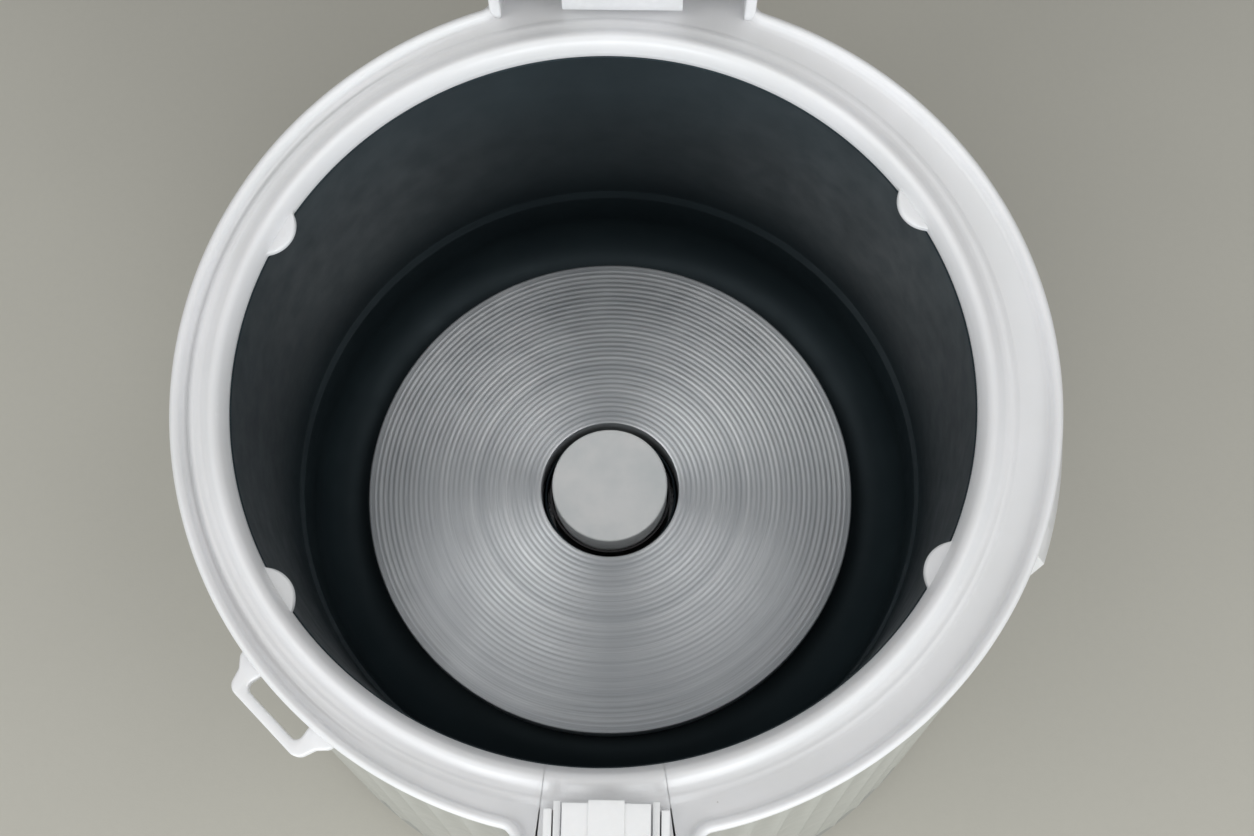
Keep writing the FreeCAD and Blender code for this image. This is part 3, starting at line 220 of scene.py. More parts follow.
def well_radius(f):
    """Distance from the pot well's axis, in metres."""
    axis = (WELL_X * MM, 0, 0)
    moved = f.add("ShaderNodeVectorMath", (0, f.place), (1, axis), operation="SUBTRACT")
    flat = f.add(
        "ShaderNodeVectorMath", (0, moved.outputs[0]), (1, (1, 1, 0)), operation="MULTIPLY"
    )
    length = f.add("ShaderNodeVectorMath", (0, flat.outputs[0]), operation="LENGTH")
    return length.outputs["Value"]


def turned_aluminium():
    """A faced-off casting: fine concentric tool marks that spread highlights into fans."""
    f = Finish("turned_aluminium")
    ring = f.add("ShaderNodeCombineXYZ", ("X", well_radius(f))).outputs[0]

    def marks(scale, detail):
        made = f.add("ShaderNodeTexNoise", ("Vector", ring), ("Scale", scale), ("Detail", detail))
        return made.outputs["Fac"]

    tool = marks(2600.0, 3.0)
    wide = marks(240.0, 2.0)
    base = f.mix(f.span(wide, 0.3, 0.7), (0.58, 0.605, 0.63, 1), (0.80, 0.82, 0.84, 1))
    base = f.mix(f.span(tool, 0.35, 0.65, 0.0, 0.4), base, (0.40, 0.415, 0.43, 1))
    cloud = f.span(f.noise(30, 4), 0.35, 0.7, 0.0, 0.22)
    base = f.mix(cloud, base, (0.50, 0.525, 0.56, 1))
    f.set(Base_Color=base, Metallic=1.0)
    f.set(Roughness=f.span(f.noise(12, 4), 0.3, 0.7, 0.33, 0.42))
    f.set(Normal=f.bump(tool, 0.02), Anisotropic=0.75, Anisotropic_Rotation=0.25)
    f.set(Tangent=f.add("ShaderNodeTangent", direction_type="RADIAL", axis="Z").outputs[0])
    return f.material


def coated_steel():
    """Satin blue-black enamel over drawn steel, a little dusty, scuffed round by the pot."""
    f = Finish("coated_steel")
    drift = f.span(f.noise(24, 4), 0.3, 0.7)
    base = f.mix(drift, (0.0150, 0.0222, 0.0262, 1), (0.0195, 0.0288, 0.0335, 1))
    dust = f.span(f.noise(0.7, 5, 0.75), 0.66, 0.74, 0.0, 0.25)
    base = f.mix(dust, base, (0.05, 0.062, 0.068, 1))
    scuff = f.noise(2.0, 4, 0.6, f.stretched(0.05, 0.05, 1.3))
    base = f.mix(f.span(scuff, 0.66, 0.85, 0.0, 0.15), base, (0.03, 0.048, 0.058, 1))
    f.set(Base_Color=base, Metallic=0.0, IOR=1.45, Specular_IOR_Level=0.32)
    f.set(Specular_Tint=(0.72, 0.9, 1.0, 1.0))
    f.set(Roughness=f.span(f.noise(8, 4), 0.3, 0.7, 0.36, 0.46))
    wavy = f.bump(f.noise(20, 1), 0.04)
    f.set(Normal=f.bump(f.noise(0.9, 2), 0.006, wavy))
    return f.material


def sleeving():
    """Woven glass-fibre sleeving, fine diagonal braid."""
    f = Finish("sleeving")
    threads = []
    for lean in (1, -1):
        band = f.add(
            "ShaderNodeTexWave",
            ("Vector", f.stretched(lean, 1, 1)),
            ("Scale", 420.0),
            bands_direction="DIAGONAL",
        )
        threads.append(band.outputs["Fac"])
    weave = f.math("MAXIMUM", *threads)
    base = f.mix(weave, (0.42, 0.39, 0.33, 1), (0.80, 0.77, 0.69, 1))
    base = f.mix(f.span(f.noise(6, 3), 0.5, 0.8, 0, 0.5), base, (0.55, 0.47, 0.36, 1))
    f.set(Base_Color=base, Roughness=f.span(weave, 0, 1, 0.85, 0.6), Normal=f.bump(weave, 0.12))
    return f.material


def circuit_board():
    """Brown paper laminate with faint copper lands."""
    f = Finish("circuit_board")
    weave = f.noise(0.9, 3, 0.6, f.stretched(1, 1, 4))
    base = f.mix(f.span(weave, 0.3, 0.7), (0.30, 0.19, 0.075, 1), (0.44, 0.30, 0.13, 1))
    cells = f.add("ShaderNodeTexBrick", ("Vector", f.stretched(1, 1, 1)), ("Scale", 90.0))
    base = f.mix(f.math("MULTIPLY", cells.outputs["Fac"], 0.25), base, (0.55, 0.42, 0.2, 1))
    f.set(Base_Color=base, Roughness=f.span(weave, 0.3, 0.7, 0.38, 0.55))
    f.set(Normal=f.bump(weave, 0.03))
    return f.material


def lens(name, colour):
    """Clear coloured plastic of a lamp window."""
    f = Finish(name)
    drift = f.span(f.noise(2.5, 2), 0.3, 0.7)
    base = f.mix(drift, tint(colour, (0.75, 0.7, 0.7)), tint(colour, (1.1, 1.1, 1.1)))
    f.set(Base_Color=base, Roughness=f.span(f.noise(3, 3), 0.3, 0.7, 0.08, 0.2))
    f.set(Normal=f.bump(f.noise(1.5, 2), 0.02))
    f.set(Transmission_Weight=0.35, IOR=1.49, Coat_Weight=0.5)
    return f.material


def floor_finish():
    """A plain pale matt table with the faintest mottle."""
    f = Finish("table_top")
    drift = f.span(f.noise(240, 3), 0.3, 0.7)
    base = f.mix(drift, (0.50, 0.485, 0.43, 1), (0.535, 0.52, 0.46, 1))
    base = f.mix(f.span(f.noise(3, 4), 0.4, 0.8, 0, 0.12), base, (0.44, 0.43, 0.38, 1))
    f.set(Base_Color=base, Roughness=f.span(f.noise(30, 3), 0.3, 0.7, 0.6, 0.72))
    f.set(Normal=f.bump(f.noise(1.2, 3), 0.03))
    return f.material


FINISHES = {
    # The shell's grey base colour is partly its own slightly grey tone and partly painted shade: a
    # white plastic darkened for the shade it stands in under the rim.
    "shell_plastic": plastic("shell_plastic", (0.41, 0.412, 0.38), 0.36, coat=0.15),
    "white_plastic": plastic("white_plastic", (0.82, 0.82, 0.83), 0.36, coat=0.1, glow=0.3),
    "grey_plastic": plastic("grey_plastic", (0.27, 0.28, 0.285), 0.5, grain=0.03),
    "black_plastic": plastic("black_plastic", (0.022, 0.022, 0.023), 0.48, grain=0.03, specks=0.2),
    "coated_steel": coated_steel(),
    "turned_aluminium": turned_aluminium(),
    "cap_aluminium": metal("cap_aluminium", (0.96, 1.0, 1.0), 0.36, metallic=0.0, stain=0.05),
    "lid_aluminium": metal("lid_aluminium", (0.76, 0.76, 0.77), 0.3, (0.04, 1, 1), stain=0.1),
    "steel": metal("steel", (0.58, 0.58, 0.59), 0.3),
    "black_rubber": rubber("black_rubber", (0.022, 0.022, 0.023), 0.72),
    "silicone": rubber("silicone", (0.55, 0.55, 0.54), 0.45, clear=0.15),
    "brass": metal("brass", (0.72, 0.56, 0.30), 0.28),
    "magnet": metal("magnet", (0.10, 0.10, 0.105), 0.5, metallic=0.7, grain=0.03),
    "ceramic": plastic("ceramic", (0.80, 0.77, 0.69), 0.22, coat=0.5),
    "mica": metal("mica", (0.42, 0.33, 0.21), 0.45, (0.1, 0.1, 1), metallic=0.15, grain=0.04),
    "sleeving": sleeving(),
    "circuit_board": circuit_board(),
    "red_lens": lens("red_lens", (0.72, 0.04, 0.02)),
    "amber_lens": lens("amber_lens", (0.88, 0.40, 0.03)),
}
LATCH_WHITE = plastic("latch_white", (0.96, 0.96, 0.965), 0.3, coat=0.2, glow=0.3)
# The sensor sleeve's near-black colour is painted shade: it darkens the narrow gap round the sensor
# cap, where shade falls.
SLEEVE_PAINTED_SHADE = metal("sleeve_painted_shade", (0.05, 0.05, 0.052), 0.34, (0.05, 0.05, 1))
SPECIAL = {"latch_hook": LATCH_WHITE, "latch_cheeks": LATCH_WHITE, "sensor_sleeve": SLEEVE_PAINTED_SHADE}
SLOT_OF = {s["node"]: s["material_slot"] for s in frame["record"]["subparts"]}


# ---------------------------------------------------------------- mesh helpers


def placed(name, bm, slot, body, *nodes):
    """A finished bmesh in millimetres becomes a piece that stands for some CAD nodes."""
    bmesh.ops.recalc_face_normals(bm, faces=bm.faces)
    mesh = bpy.data.meshes.new(name)
    bm.to_mesh(mesh)
    bm.free()
    mesh.transform(Matrix.Scale(MM, 4))
    return dressed(name, mesh, slot, body, *nodes)


def dressed(name, mesh, slot, body, *nodes, sharp=32):
    """A mesh in metres becomes a piece with its finish, its body and the nodes it stands for."""
    mesh.materials.clear()
    mesh.materials.append(FINISHES[slot])
    mesh.shade_smooth()
    mesh.set_sharp_from_angle(angle=math.radians(sharp))
    piece = bpy.data.objects.new(name, mesh)
    bpy.context.scene.collection.objects.link(piece)
    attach(piece, body)
    if nodes:
        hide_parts(*nodes)
    return piece


def arc_corner(before, corner, after, radius, steps):
    """The rounded version of one corner of a flat outline."""
    p, a, b = Vector(corner), Vector(before), Vector(after)
    d_in, d_out = (p - a).normalized(), (b - p).normalized()
    turn = d_in.angle(d_out)
    if radius <= 0 or turn < 1e-3:
        return [p]
    reach = min(radius * math.tan(turn / 2), 0.49 * (p - a).length, 0.49 * (b - p).length)
    radius = reach / math.tan(turn / 2)
    side = 1 if d_in.x * d_out.y - d_in.y * d_out.x > 0 else -1
    start = p - d_in * reach
    normal = Vector((-d_in.y, d_in.x)) * side
    centre = start + normal * radius
    spoke = start - centre
    swing = [Matrix.Rotation(side * turn * i / steps, 2) for i in range(steps + 1)]
    return [centre + step @ spoke for step in swing]


def rounded(points, closed=True, steps=6):
    """Points (x, y, radius) to a flat outline with round corners."""
    count, out = len(points), []
    for i, (x, y, radius) in enumerate(points):
        if not closed and i in (0, count - 1):
            out.append(Vector((x, y)))
            continue
        before, after = points[i - 1], points[(i + 1) % count]
        out += arc_corner(before[:2], (x, y), after[:2], radius, steps)
    return out


def grid(bm, rows):
    """Skins rows of points; each row is a closed line, and the last row joins the first."""
    verts = [[bm.verts.new(p) for p in row] for row in rows]
    for a, b in zip(verts, verts[1:] + verts[:1]):
        for k in range(len(a)):
            n = (k + 1) % len(a)
            bm.faces.new((a[k], a[n], b[n], b[k]))


def polar(centre_x, radius, angle, z):
    """A point at a radius and an angle about the vertical axis through centre_x."""
    return (centre_x + radius * math.cos(angle), radius * math.sin(angle), z)


def lathe(outline, segments):
    """A closed outline of (radius, height) turned about the pot well's axis."""
    bm = bmesh.new()
    angles = [2 * math.pi * i / segments for i in range(segments)]
    grid(bm, [[polar(WELL_X, max(r, 0.0), angle, z) for r, z in outline] for angle in angles])
    bmesh.ops.remove_doubles(bm, verts=bm.verts, dist=1e-4)
    return bm


def block(x, y, z):
    """A plain box tool for cutting, in millimetres."""
    bm = bmesh.new()
    size = Vector((x[1] - x[0], y[1] - y[0], z[1] - z[0]))
    middle = Vector((x[1] + x[0], y[1] + y[0], z[1] + z[0])) / 2
    spot = Matrix.Translation(middle) @ Matrix.Diagonal((*size, 1))
    bmesh.ops.create_cube(bm, size=1, matrix=spot)
    return bm


def carved(piece, *tools):
    """Cuts bmesh tools out of a piece and keeps its mesh clean."""
    for bm in tools:
        mesh = bpy.data.meshes.new("tool")
        bmesh.ops.recalc_face_normals(bm, faces=bm.faces)
        bm.to_mesh(mesh)
        bm.free()
        mesh.transform(Matrix.Scale(MM, 4))
        tool = bpy.data.objects.new("tool", mesh)
        bpy.context.scene.collection.objects.link(tool)
        cutter = piece.modifiers.new("cut", "BOOLEAN")
        cutter.operation, cutter.object, cutter.solver = "DIFFERENCE", tool, "EXACT"
        bpy.context.view_layer.update()
        seen = piece.evaluated_get(bpy.context.evaluated_depsgraph_get())
        fresh = bpy.data.meshes.new_from_object(seen)
        piece.modifiers.remove(cutter)
        piece.data = fresh
        bpy.data.objects.remove(tool)
    piece.data.shade_smooth()
    piece.data.set_sharp_from_angle(angle=math.radians(32))
    return piece


def body_name(node):
    """The body that a CAD node rides on."""
    parent = frame["nodes"][node].parent
    return next(name for name, empty in frame["bodies"].items() if empty == parent)


def refined(node, width):
    """A CAD node's shape again with welded faces and softened edges."""
    bm = bmesh.new()
    bm.from_mesh(frame["nodes"][node].data)
    bmesh.ops.remove_doubles(bm, verts=bm.verts, dist=2e-6)
    bmesh.ops.dissolve_limit(bm, angle_limit=math.radians(0.4), verts=bm.verts, edges=bm.edges)
    sharp = math.radians(32)
    edges = [e for e in bm.edges if len(e.link_faces) == 2 and e.calc_face_angle(0) > sharp]
    bmesh.ops.bevel(
        bm,
        geom=edges,
        offset=width * MM,
        offset_type="OFFSET",
        segments=2,
        profile=0.5,
        affect="EDGES",
        clamp_overlap=True,
    )
    bmesh.ops.recalc_face_normals(bm, faces=bm.faces)
    mesh = bpy.data.meshes.new(node + "_fine")
    bm.to_mesh(mesh)
    bm.free()
    piece = dressed(node + "_fine", mesh, SLOT_OF[node], body_name(node), node, sharp=40)
    if node in SPECIAL:
        piece.data.materials[0] = SPECIAL[node]
    even = piece.modifiers.new("even", "WEIGHTED_NORMAL")
    even.keep_sharp = True
    return piece


# ---------------------------------------------------------------- camera, light and table


def camera():
    """Stands above the front edge of the rim and looks down into the well; metres."""
    data = bpy.data.cameras.new("camera")
    data.sensor_width, data.lens = 36.0, 45.06
    data.clip_start = 0.01
    view = bpy.data.objects.new("camera", data)
    place = Vector((0.00808, -0.1333, 0.5905))
    ahead = Vector((-0.0115, 0.2935, -0.9559)).normalized()
    level = Vector((0.9999, 0.0162, -0.0071))
    up = level.cross(ahead).normalized()
    right = ahead.cross(up)
    turn = Matrix((right, up, -ahead)).transposed().to_4x4()
    view.matrix_world = Matrix.Translation(place) @ turn
    bpy.context.scene.collection.objects.link(view)
    bpy.context.scene.camera = view


# Name, place and aim in metres, width and height in metres, watts, colour.
LIGHTS = (
    ("overhead_left", (-0.72, -0.2, 1.25), (0, 0, 0.15), (0.8, 1.1), 5.7, (1.0, 0.99, 0.97)),
    ("overhead_right", (0.72, -0.3, 1.25), (0, 0, 0.15), (0.8, 1.1), 5.4, (1.0, 0.99, 0.97)),
    ("low_front", (0, -1.45, 0.42), (0, 0.1, 0.17), (1.7, 0.28), 10.0, (0.93, 0.975, 1.0)),
    ("window", (0.05, -1.5, 0.6), (0, 0.1, 0.17), (1.5, 0.45), 8.0, (0.97, 0.985, 1.0)),
)


def soft_light(name, place, aim, size, power, colour):
    """A rectangular lamp that faces its aim."""
    data = bpy.data.lights.new(name, "AREA")
    data.shape, data.size, data.size_y = "RECTANGLE", size[0], size[1]
    data.energy, data.color = power, colour
    lamp = bpy.data.objects.new(name, data)
    lamp.location = place
    lamp.rotation_euler = (Vector(aim) - Vector(place)).to_track_quat("-Z", "Y").to_euler()
    bpy.context.scene.collection.objects.link(lamp)


def studio():
    """Soft daylight over a pale table."""
    bpy.context.scene.view_settings.view_transform = "Standard"
    world = bpy.data.worlds.new("studio")
    bpy.context.scene.world = world
    world.use_nodes = True
    sky = world.node_tree.nodes["Background"]
    sky.inputs["Color"].default_value = (0.95, 0.975, 1.0, 1)
    sky.inputs["Strength"].default_value = 0.26
    for light in LIGHTS:
        soft_light(*light)
    bm = bmesh.new()
    bmesh.ops.create_grid(bm, x_segments=1, y_segments=1, size=3.0)
    mesh = bpy.data.meshes.new("table")
    bm.to_mesh(mesh)
    bm.free()
    mesh.materials.append(floor_finish())
    table = bpy.data.objects.new("table", mesh)
    bpy.context.scene.collection.objects.link(table)


# ---------------------------------------------------------------- collar and shell


def arc(radius, start, end):
    """Points about a degree apart on a circle round the body's axis, each with no rounding."""
    count = max(2, round(abs(end - start)))
    angles = [math.radians(start + (end - start) * i / count) for i in range(count + 1)]
    return [(radius * math.cos(a), radius * math.sin(a), 0) for a in angles]


def collar_outline():
    """The collar's outside, anticlockwise: the rim circle with its front block and hinge block."""
    rear_meet = math.sqrt(RIM_RADIUS**2 - REAR_HALF**2)
    front_meet = -math.sqrt(RIM_RADIUS**2 - FRONT_HALF**2)
    front_edge = -math.sqrt(FRONT_RADIUS**2 - FRONT_HALF**2)
    rear = math.degrees(math.asin(rear_meet / RIM_RADIUS))
    low = math.degrees(math.acos(FRONT_HALF / RIM_RADIUS))
    side = math.degrees(math.acos(FRONT_HALF / FRONT_RADIUS))
    clear = 2.9  # degrees of arc left free for a corner's round

    points = arc(RIM_RADIUS, clear - low, rear - clear)
    points.append((REAR_HALF, rear_meet, BLOCK_CORNER))
    points.append((REAR_HALF, REAR_BACK, BLOCK_CORNER))
    points.append((-REAR_HALF, REAR_BACK, BLOCK_CORNER))
    points.append((-REAR_HALF, rear_meet, BLOCK_CORNER))
    points += arc(RIM_RADIUS, 180 - rear + clear, 180 + low - clear)
    points.append((-FRONT_HALF, front_meet, BLOCK_CORNER))
    points.append((-FRONT_HALF, front_edge, BLOCK_CORNER))
    points += arc(FRONT_RADIUS, 180 + side + clear, 360 - side - clear)
    points.append((FRONT_HALF, front_edge, BLOCK_CORNER))
    points.append((FRONT_HALF, front_meet, BLOCK_CORNER))
    return rounded(points, steps=7)


TAB_ANGLES = (31.8, 154.4, 214.3, 331.8)
TAB_CENTRE, TAB_RADIUS = 106.3, 8.6


def turned_from(angle, tab):
    """Degrees from a tab to an angle, the short way round."""
    return (angle - tab + 180) % 360 - 180


def with_steps(outline):
    """Splits long runs, and runs opposite a tab finely."""
    coarse, fine, tab_span = 2.2, 0.55, 5.5
    out = []
    for a, b in zip(outline, outline[1:] + outline[:1]):
        angle = math.degrees(math.atan2(a.y, a.x - WELL_X)) % 360
        near = any(abs(turned_from(angle, tab)) < tab_span for tab in TAB_ANGLES)
        count = max(1, math.ceil((b - a).length / (fine if near else coarse)))
        out += [a.lerp(b, k / count) for k in range(count)]
    return out


def tab_reach(angle):
    """How far a round pot guide tab stands into the well at an angle about the well's axis."""
    for tab in TAB_ANGLES:
        off = math.radians(turned_from(angle, tab))
        across = TAB_CENTRE * math.sin(off)
        if math.cos(off) > 0 and abs(across) < TAB_RADIUS:
            near = TAB_CENTRE * math.cos(off) - math.sqrt(TAB_RADIUS**2 - across**2)
            return max(0.0, WELL_RADIUS - near)
    return 0.0


def spline(points, steps):
    """A smooth line through (u, v) points."""
    ends = [points[0]] + list(points) + [points[-1]]
    out = []
    for i in range(1, len(ends) - 2):
        p0, p1, p2, p3 = (Vector(p) for p in ends[i - 1 : i + 3])
        for k in range(steps):
            t = k / steps
            out.append(
                0.5
                * (
                    2 * p1
                    + (p2 - p0) * t
                    + (2 * p0 - 5 * p1 + 4 * p2 - p3) * t * t
                    + (3 * p1 - p0 - 3 * p2 + p3) * t**3
                )
            )
    out.append(Vector(points[-1]))
    return out


def collar_profile():
    """The collar's section: (radius, height) from the well over the inner lip to the floor, then
    (inset from the rim, height) over the outer lip and down the skirt."""
    slope = spline(
        [
            (WELL_RADIUS + out, FLOOR_TOP + up)
            for out, up in (
                *((0.15, -1.9), (0.55, -0.6), (1.2, 0.8), (2.0, 1.95), (3.15, 2.65)),
                *((4.4, 2.5), (5.55, 1.65), (6.7, 0.85), (7.8, 0.65), (8.8, 0.8)),
                *((9.7, 0.5), (10.5, 0.08), (11.3, 0)),
            )
        ],
        4,
    )
    lip = spline(
        [
            (inset, FLOOR_TOP + up)
            for inset, up in (
                *((3.9, 0.05), (3.2, 0.5), (2.85, 1.6), (2.6, 2.7), (2.0, 3.3)),
                *((1.35, 3.5), (0.7, 3.35), (0.2, 2.8), (0.0, 2.0)),
            )
        ],
        3,
    )
    foot = [(LIP_FOOT + 0.8, FLOOR_TOP), (LIP_FOOT, FLOOR_TOP)]
    skirt = [(0, SKIRT_LOW + 0.7), (0.25, SKIRT_LOW + 0.2), (0.7, SKIRT_LOW)]
    return slope, foot + lip + skirt


def collar():
    """The white ring: steep inner slope, round inner lip, valley, faint ridge, floor, outer lip."""
    slope, lip = collar_profile()
    # Outward from the well's radius, share of a tab's reach inward, height over the well's edge.
    edge = [(0, 1, 0), (0, 1, 0.75), (0.05, 0.93, 1.2), (0.1, 0.8, 1.5), (0.12, 0.45, 1.6)]
    soft = 0.5
    tongue = [(TONGUE_OUT, SKIRT_LOW), (TONGUE_OUT, TONGUE_LOW + soft)]
    tongue += [(TONGUE_OUT - soft, TONGUE_LOW), (TONGUE_IN + soft, TONGUE_LOW)]
    tongue += [(TONGUE_IN, TONGUE_LOW + soft), (TONGUE_IN, FLOOR_UNDER)]
    outline = with_steps(collar_outline())
    rows = []
    for i, p in enumerate(outline):
        along = (outline[(i + 1) % len(outline)] - outline[i - 1]).normalized()
        inward = Vector((-along.y, along.x))
        foot = p + inward * LIP_FOOT
        angle = math.atan2(foot.y, foot.x - WELL_X)
        body_angle = math.atan2(p.y, p.x)
        reach = tab_reach(math.degrees(angle) % 360)
        row = [
            polar(WELL_X, WELL_RADIUS + out - share * reach, angle, WELL_EDGE + up)
            for out, share, up in edge
        ]
        row += [polar(WELL_X, radius, angle, z) for radius, z in slope]
        row += [(*(p + inward * inset), z) for inset, z in lip]
        row += [polar(0, radius, body_angle, z) for radius, z in tongue]
        row += [polar(WELL_X, WELL_RADIUS + 2.5, angle, z) for z in (FLOOR_UNDER, WELL_EDGE)]
        rows.append(row)
    bm = bmesh.new()
    grid(bm, rows)
    piece = placed("collar_ring", bm, "white_plastic", "cooker", "top_collar")
    return carved(piece, block((-9, 9), (-129, -116), (182, 189)))


def ears():
    """The two hinge ears that stand on the collar."""
    radius, thick, foot = 7, 3.3, FLOOR_TOP - 0.8
    side = [(HINGE_Y + radius, foot), (HINGE_Y + radius, HINGE_Z)]
    for angle in range(10, 180, 10):
        swing = math.radians(angle)
        side.append((HINGE_Y + radius * math.cos(swing), HINGE_Z + radius * math.sin(swing)))
    side += [(HINGE_Y - radius, HINGE_Z), (HINGE_Y - radius, foot)]
    for name, start in (("hinge_ear_left", -REAR_HALF), ("hinge_ear_right", REAR_HALF - thick)):
        bm = bmesh.new()
        face = bm.faces.new([bm.verts.new((start, y, z)) for y, z in side])
        made = bmesh.ops.extrude_face_region(bm, geom=[face])
        far = [v for v in made["geom"] if isinstance(v, bmesh.types.BMVert)]
        bmesh.ops.translate(bm, verts=far, vec=(thick, 0, 0))
        edges = [e for e in bm.edges if len(e.link_faces) == 2 and e.calc_face_angle(0) > 0.9]
        bmesh.ops.bevel(
            bm,
            geom=edges,
            offset=0.7,
            segments=3,
            profile=0.5,
            affect="EDGES",
            clamp_overlap=True,
        )
        placed(name, bm, "white_plastic", "cooker")


def loop():
    """The flat loop for the rice spoon, grown out of the rim with soft roots."""
    half_thick, edge = 1.9, 0.6
    middle = 185.6
    turn = Matrix.Rotation(math.radians(-133.9), 4, "Z")
    half = [(116.9, -17.6, 0), (119.9, -17.0, 2.2), (122.4, -14.6, 2.0), (127.4, -12.9, 3.2)]
    outside = rounded(half + [(x, -y, r) for x, y, r in reversed(half)], steps=8)
    hole = [(118.8, -9.2, 1.0), (124.6, -10.2, 1.95), (124.6, 10.2, 1.95), (118.8, 9.2, 1.0)]
    slot = rounded(hole, steps=8)

    data = bpy.data.curves.new("loop_curve", "CURVE")
    data.dimensions, data.fill_mode = "2D", "BOTH"
    data.extrude, data.bevel_depth, data.offset = half_thick - edge, edge, -edge
    data.bevel_resolution = 3
    for line in (outside, slot):
        run = data.splines.new("POLY")
        run.points.add(len(line) - 1)
        for point, flat in zip(run.points, line):
            point.co = (*flat, 0, 1)
        run.use_cyclic_u = True
    maker = bpy.data.objects.new("loop_curve", data)
    bpy.context.scene.collection.objects.link(maker)
    bpy.context.view_layer.update()
    seen = maker.evaluated_get(bpy.context.evaluated_depsgraph_get())
    bm = bmesh.new()
    bm.from_mesh(bpy.data.meshes.new_from_object(seen))
    bpy.data.objects.remove(maker)
    bmesh.ops.remove_doubles(bm, verts=bm.verts, dist=1e-3)
    bm.transform(Matrix.Translation((0, 0, middle)) @ turn)
    return placed("rim_loop", bm, "white_plastic", "cooker", "spoon_loop")


def fluted_shell():
    """The tapered wall with upright concave flutes that meet in thin ridges."""
    per_flute = 8
    slope = (SHELL_FOOT - SHELL_TOP) / (SHELL_HIGH - SHELL_LOW)
    # Height, how far the edge is drawn in, share of the flute's depth.
    outside = [(SHELL_LOW, 0.6, 0.2), (SHELL_LOW + 0.6, 0.0, 1.0), (60, 0.0, 1.0)]
    outside += [(120, 0.0, 1.0), (SHELL_HIGH - 0.6, 0.0, 1.0), (SHELL_HIGH, 0.5, 0.3)]
    inside = [(SHELL_HIGH, SHELL_WALL, 0.0), (SHELL_LOW, SHELL_WALL, 0.0)]
    rows = []
    for i in range(FLUTES * per_flute):
        angle = 2 * math.pi * i / (FLUTES * per_flute)
        across = 2 * (i % per_flute) / per_flute - 1
        dip = FLUTE_DEPTH * (1 - across**2) ** 0.8
        row = []
        for z, back, share in outside + inside:
            radius = SHELL_FOOT - (z - SHELL_LOW) * slope - back - dip * share
            row.append(polar(0, radius, angle, z))
        rows.append(row)
    bm = bmesh.new()
    grid(bm, rows)
    piece = placed("fluted_shell", bm, "shell_plastic", "cooker", "outer_shell")
    column = block((-20, 20), (-140, -100), (20, 184))
    socket = block((100, 140), (-14.5, 14.5), (113, 139))
    screws = [block((115, 140), y, (124.7, 127.3)) for y in ((-17.4, -14.8), (14.8, 17.4))]
    return carved(piece, column, socket, *screws)


# ---------------------------------------------------------------- pot well


def casing():
    """The drawn steel cup, with its step, its neck for the sensor and its holes for the plate."""
    inside, outside = CASING_RADIUS, CASING_RADIUS + CASING_WALL
    under, under_flange = CASING_FLOOR - CASING_WALL, CASING_HIGH - CASING_WALL
    drop, step_high, step_low = 1.2, 94.2, 91.4
    neck, neck_in, neck_top = 22.5, 21.8, CASING_FLOOR + 6
    flange = 108.2
    outline = rounded(
        [
            (inside, CASING_HIGH, 0.4),
            (inside, step_high, 3),
            (inside - drop, step_low, 3),
            (inside - drop, CASING_FLOOR, 24),
            (neck + 0.9, CASING_FLOOR, 1.2),
            (neck, neck_top, 0.2),
            (neck_in, neck_top, 0.2),
            (neck_in, under, 1.5),
            (outside - drop, under, 24.8),
            (outside - drop, step_low, 3),
            (outside, step_high, 3),
            (outside, under_flange, 0.6),
            (flange, under_flange, 0.2),
            (flange, CASING_HIGH, 0.2),
        ],
        steps=14,
    )
    cup = lathe(outline, segments=256)
    piece = placed("casing_cup", cup, "coated_steel", "cooker", "inner_casing")
    # Angle, distance from the well's axis and radius of each hole in the floor.
    holes = [(angle, 66, 2.3) for angle in (30, 150, 270)]
    holes += [(angle, 55, 5) for angle in (80, 100)]
    tools = []
    for angle, away, radius in holes:
        bm = bmesh.new()
        bmesh.ops.create_cone(
            bm,
            cap_ends=True,
            segments=32,
            radius1=radius,
            radius2=radius,
            depth=6,
            matrix=Matrix.Translation(polar(WELL_X, away, math.radians(angle), CASING_FLOOR)),
        )
        tools.append(bm)
    return carved(piece, *tools)


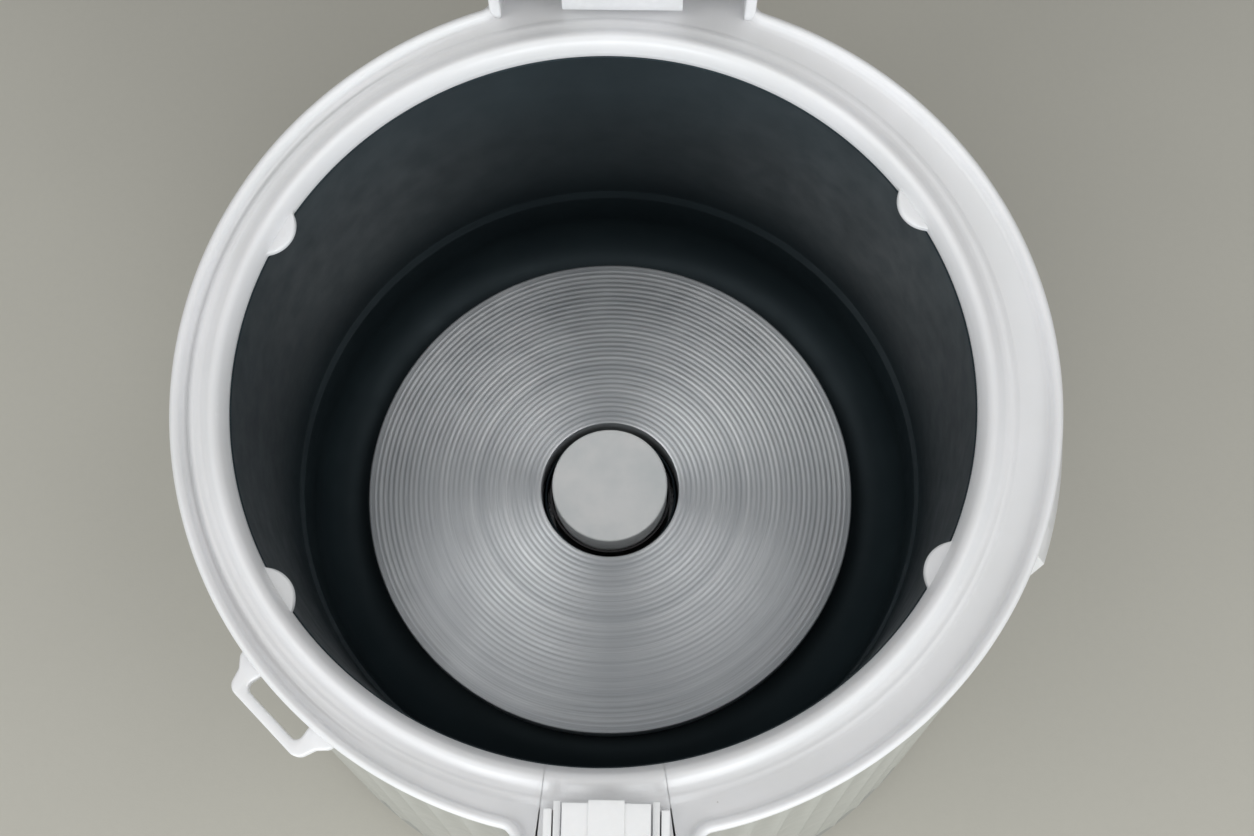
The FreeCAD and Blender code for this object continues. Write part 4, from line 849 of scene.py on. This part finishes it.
def plate():
    """The heating plate's turned face: shallow concentric grooves cut in real depth."""
    pitch, depth, per_groove = 1.7, 0.042, 6
    first, last = PLATE_HOLE + 0.7, PLATE_RADIUS - 1.4
    count = math.ceil((last - first) * per_groove / pitch)
    outline = [(PLATE_HOLE, PLATE_LOW), (PLATE_HOLE, PLATE_TOP - 0.5)]
    outline.append((PLATE_HOLE + 0.2, PLATE_TOP - 0.15))
    for i in range(count):
        radius = first + i * pitch / per_groove
        dip = depth * (1 - math.cos(2 * math.pi * radius / pitch))
        outline.append((radius, PLATE_TOP - dip))
    edge = [(PLATE_RADIUS - 1, PLATE_TOP, 0), (PLATE_RADIUS, PLATE_TOP, 1.1)]
    edge += [(PLATE_RADIUS, 66.2, 0.6), (72.2, PLATE_LOW + 0.2, 0.6), (71, PLATE_LOW, 0)]
    outline += rounded(edge, closed=False)
    disc = lathe(outline, segments=256)
    return placed("plate_face", disc, "turned_aluminium", "cooker", "heating_plate")


def cap():
    """The sensor cap: a shallow pressed cup with a soft edge and a barely crowned top."""
    inside = CAP_RADIUS - 0.8
    crown = [0.0, *range(2, 18, 2)]
    outline = [(r, CAP_TOP - 0.10 * (r / (CAP_RADIUS - 1)) ** 4) for r in crown]
    edge = [(18.0, CAP_TOP - 0.1, 0), (CAP_RADIUS, CAP_TOP - 0.15, 1.1), (CAP_RADIUS, CAP_LOW, 0.3)]
    edge += [(inside, CAP_LOW, 0.3), (inside, CAP_TOP - 1, 0.8), (0.0, CAP_TOP - 1, 0)]
    outline += rounded(edge, closed=False)
    cup = lathe(outline, segments=160)
    return placed("cap_cup", cup, "cap_aluminium", "sensor", "sensor_cap")


# ---------------------------------------------------------------- make everything

# The edge rounding of moulded and pressed pieces, in millimetres.
SOFT_EDGES = {
    "latch_cheeks": 0.3,
    "latch_hook": 0.4,
    "front_housing": 1.0,
    "open_button": 0.9,
    "cook_key": 0.7,
    "inlet_housing": 1.0,
    "power_inlet": 0.5,
    "inlet_blades": 0.2,
    "steam_cap": 0.6,
    "lid_catch": 0.3,
    "terminal_block": 0.5,
    "main_switch": 0.4,
    "latch_bracket": 0.3,
    "cook_lever": 0.4,
    "lever_stand": 0.4,
}

camera()
studio()
for label, thing in frame["nodes"].items():
    for place in thing.material_slots:
        place.material = SPECIAL.get(label, FINISHES[SLOT_OF[label]])
collar()
ears()
fluted_shell()
casing()
plate()
cap()
loop()
for label, width in SOFT_EDGES.items():
    refined(label, width)
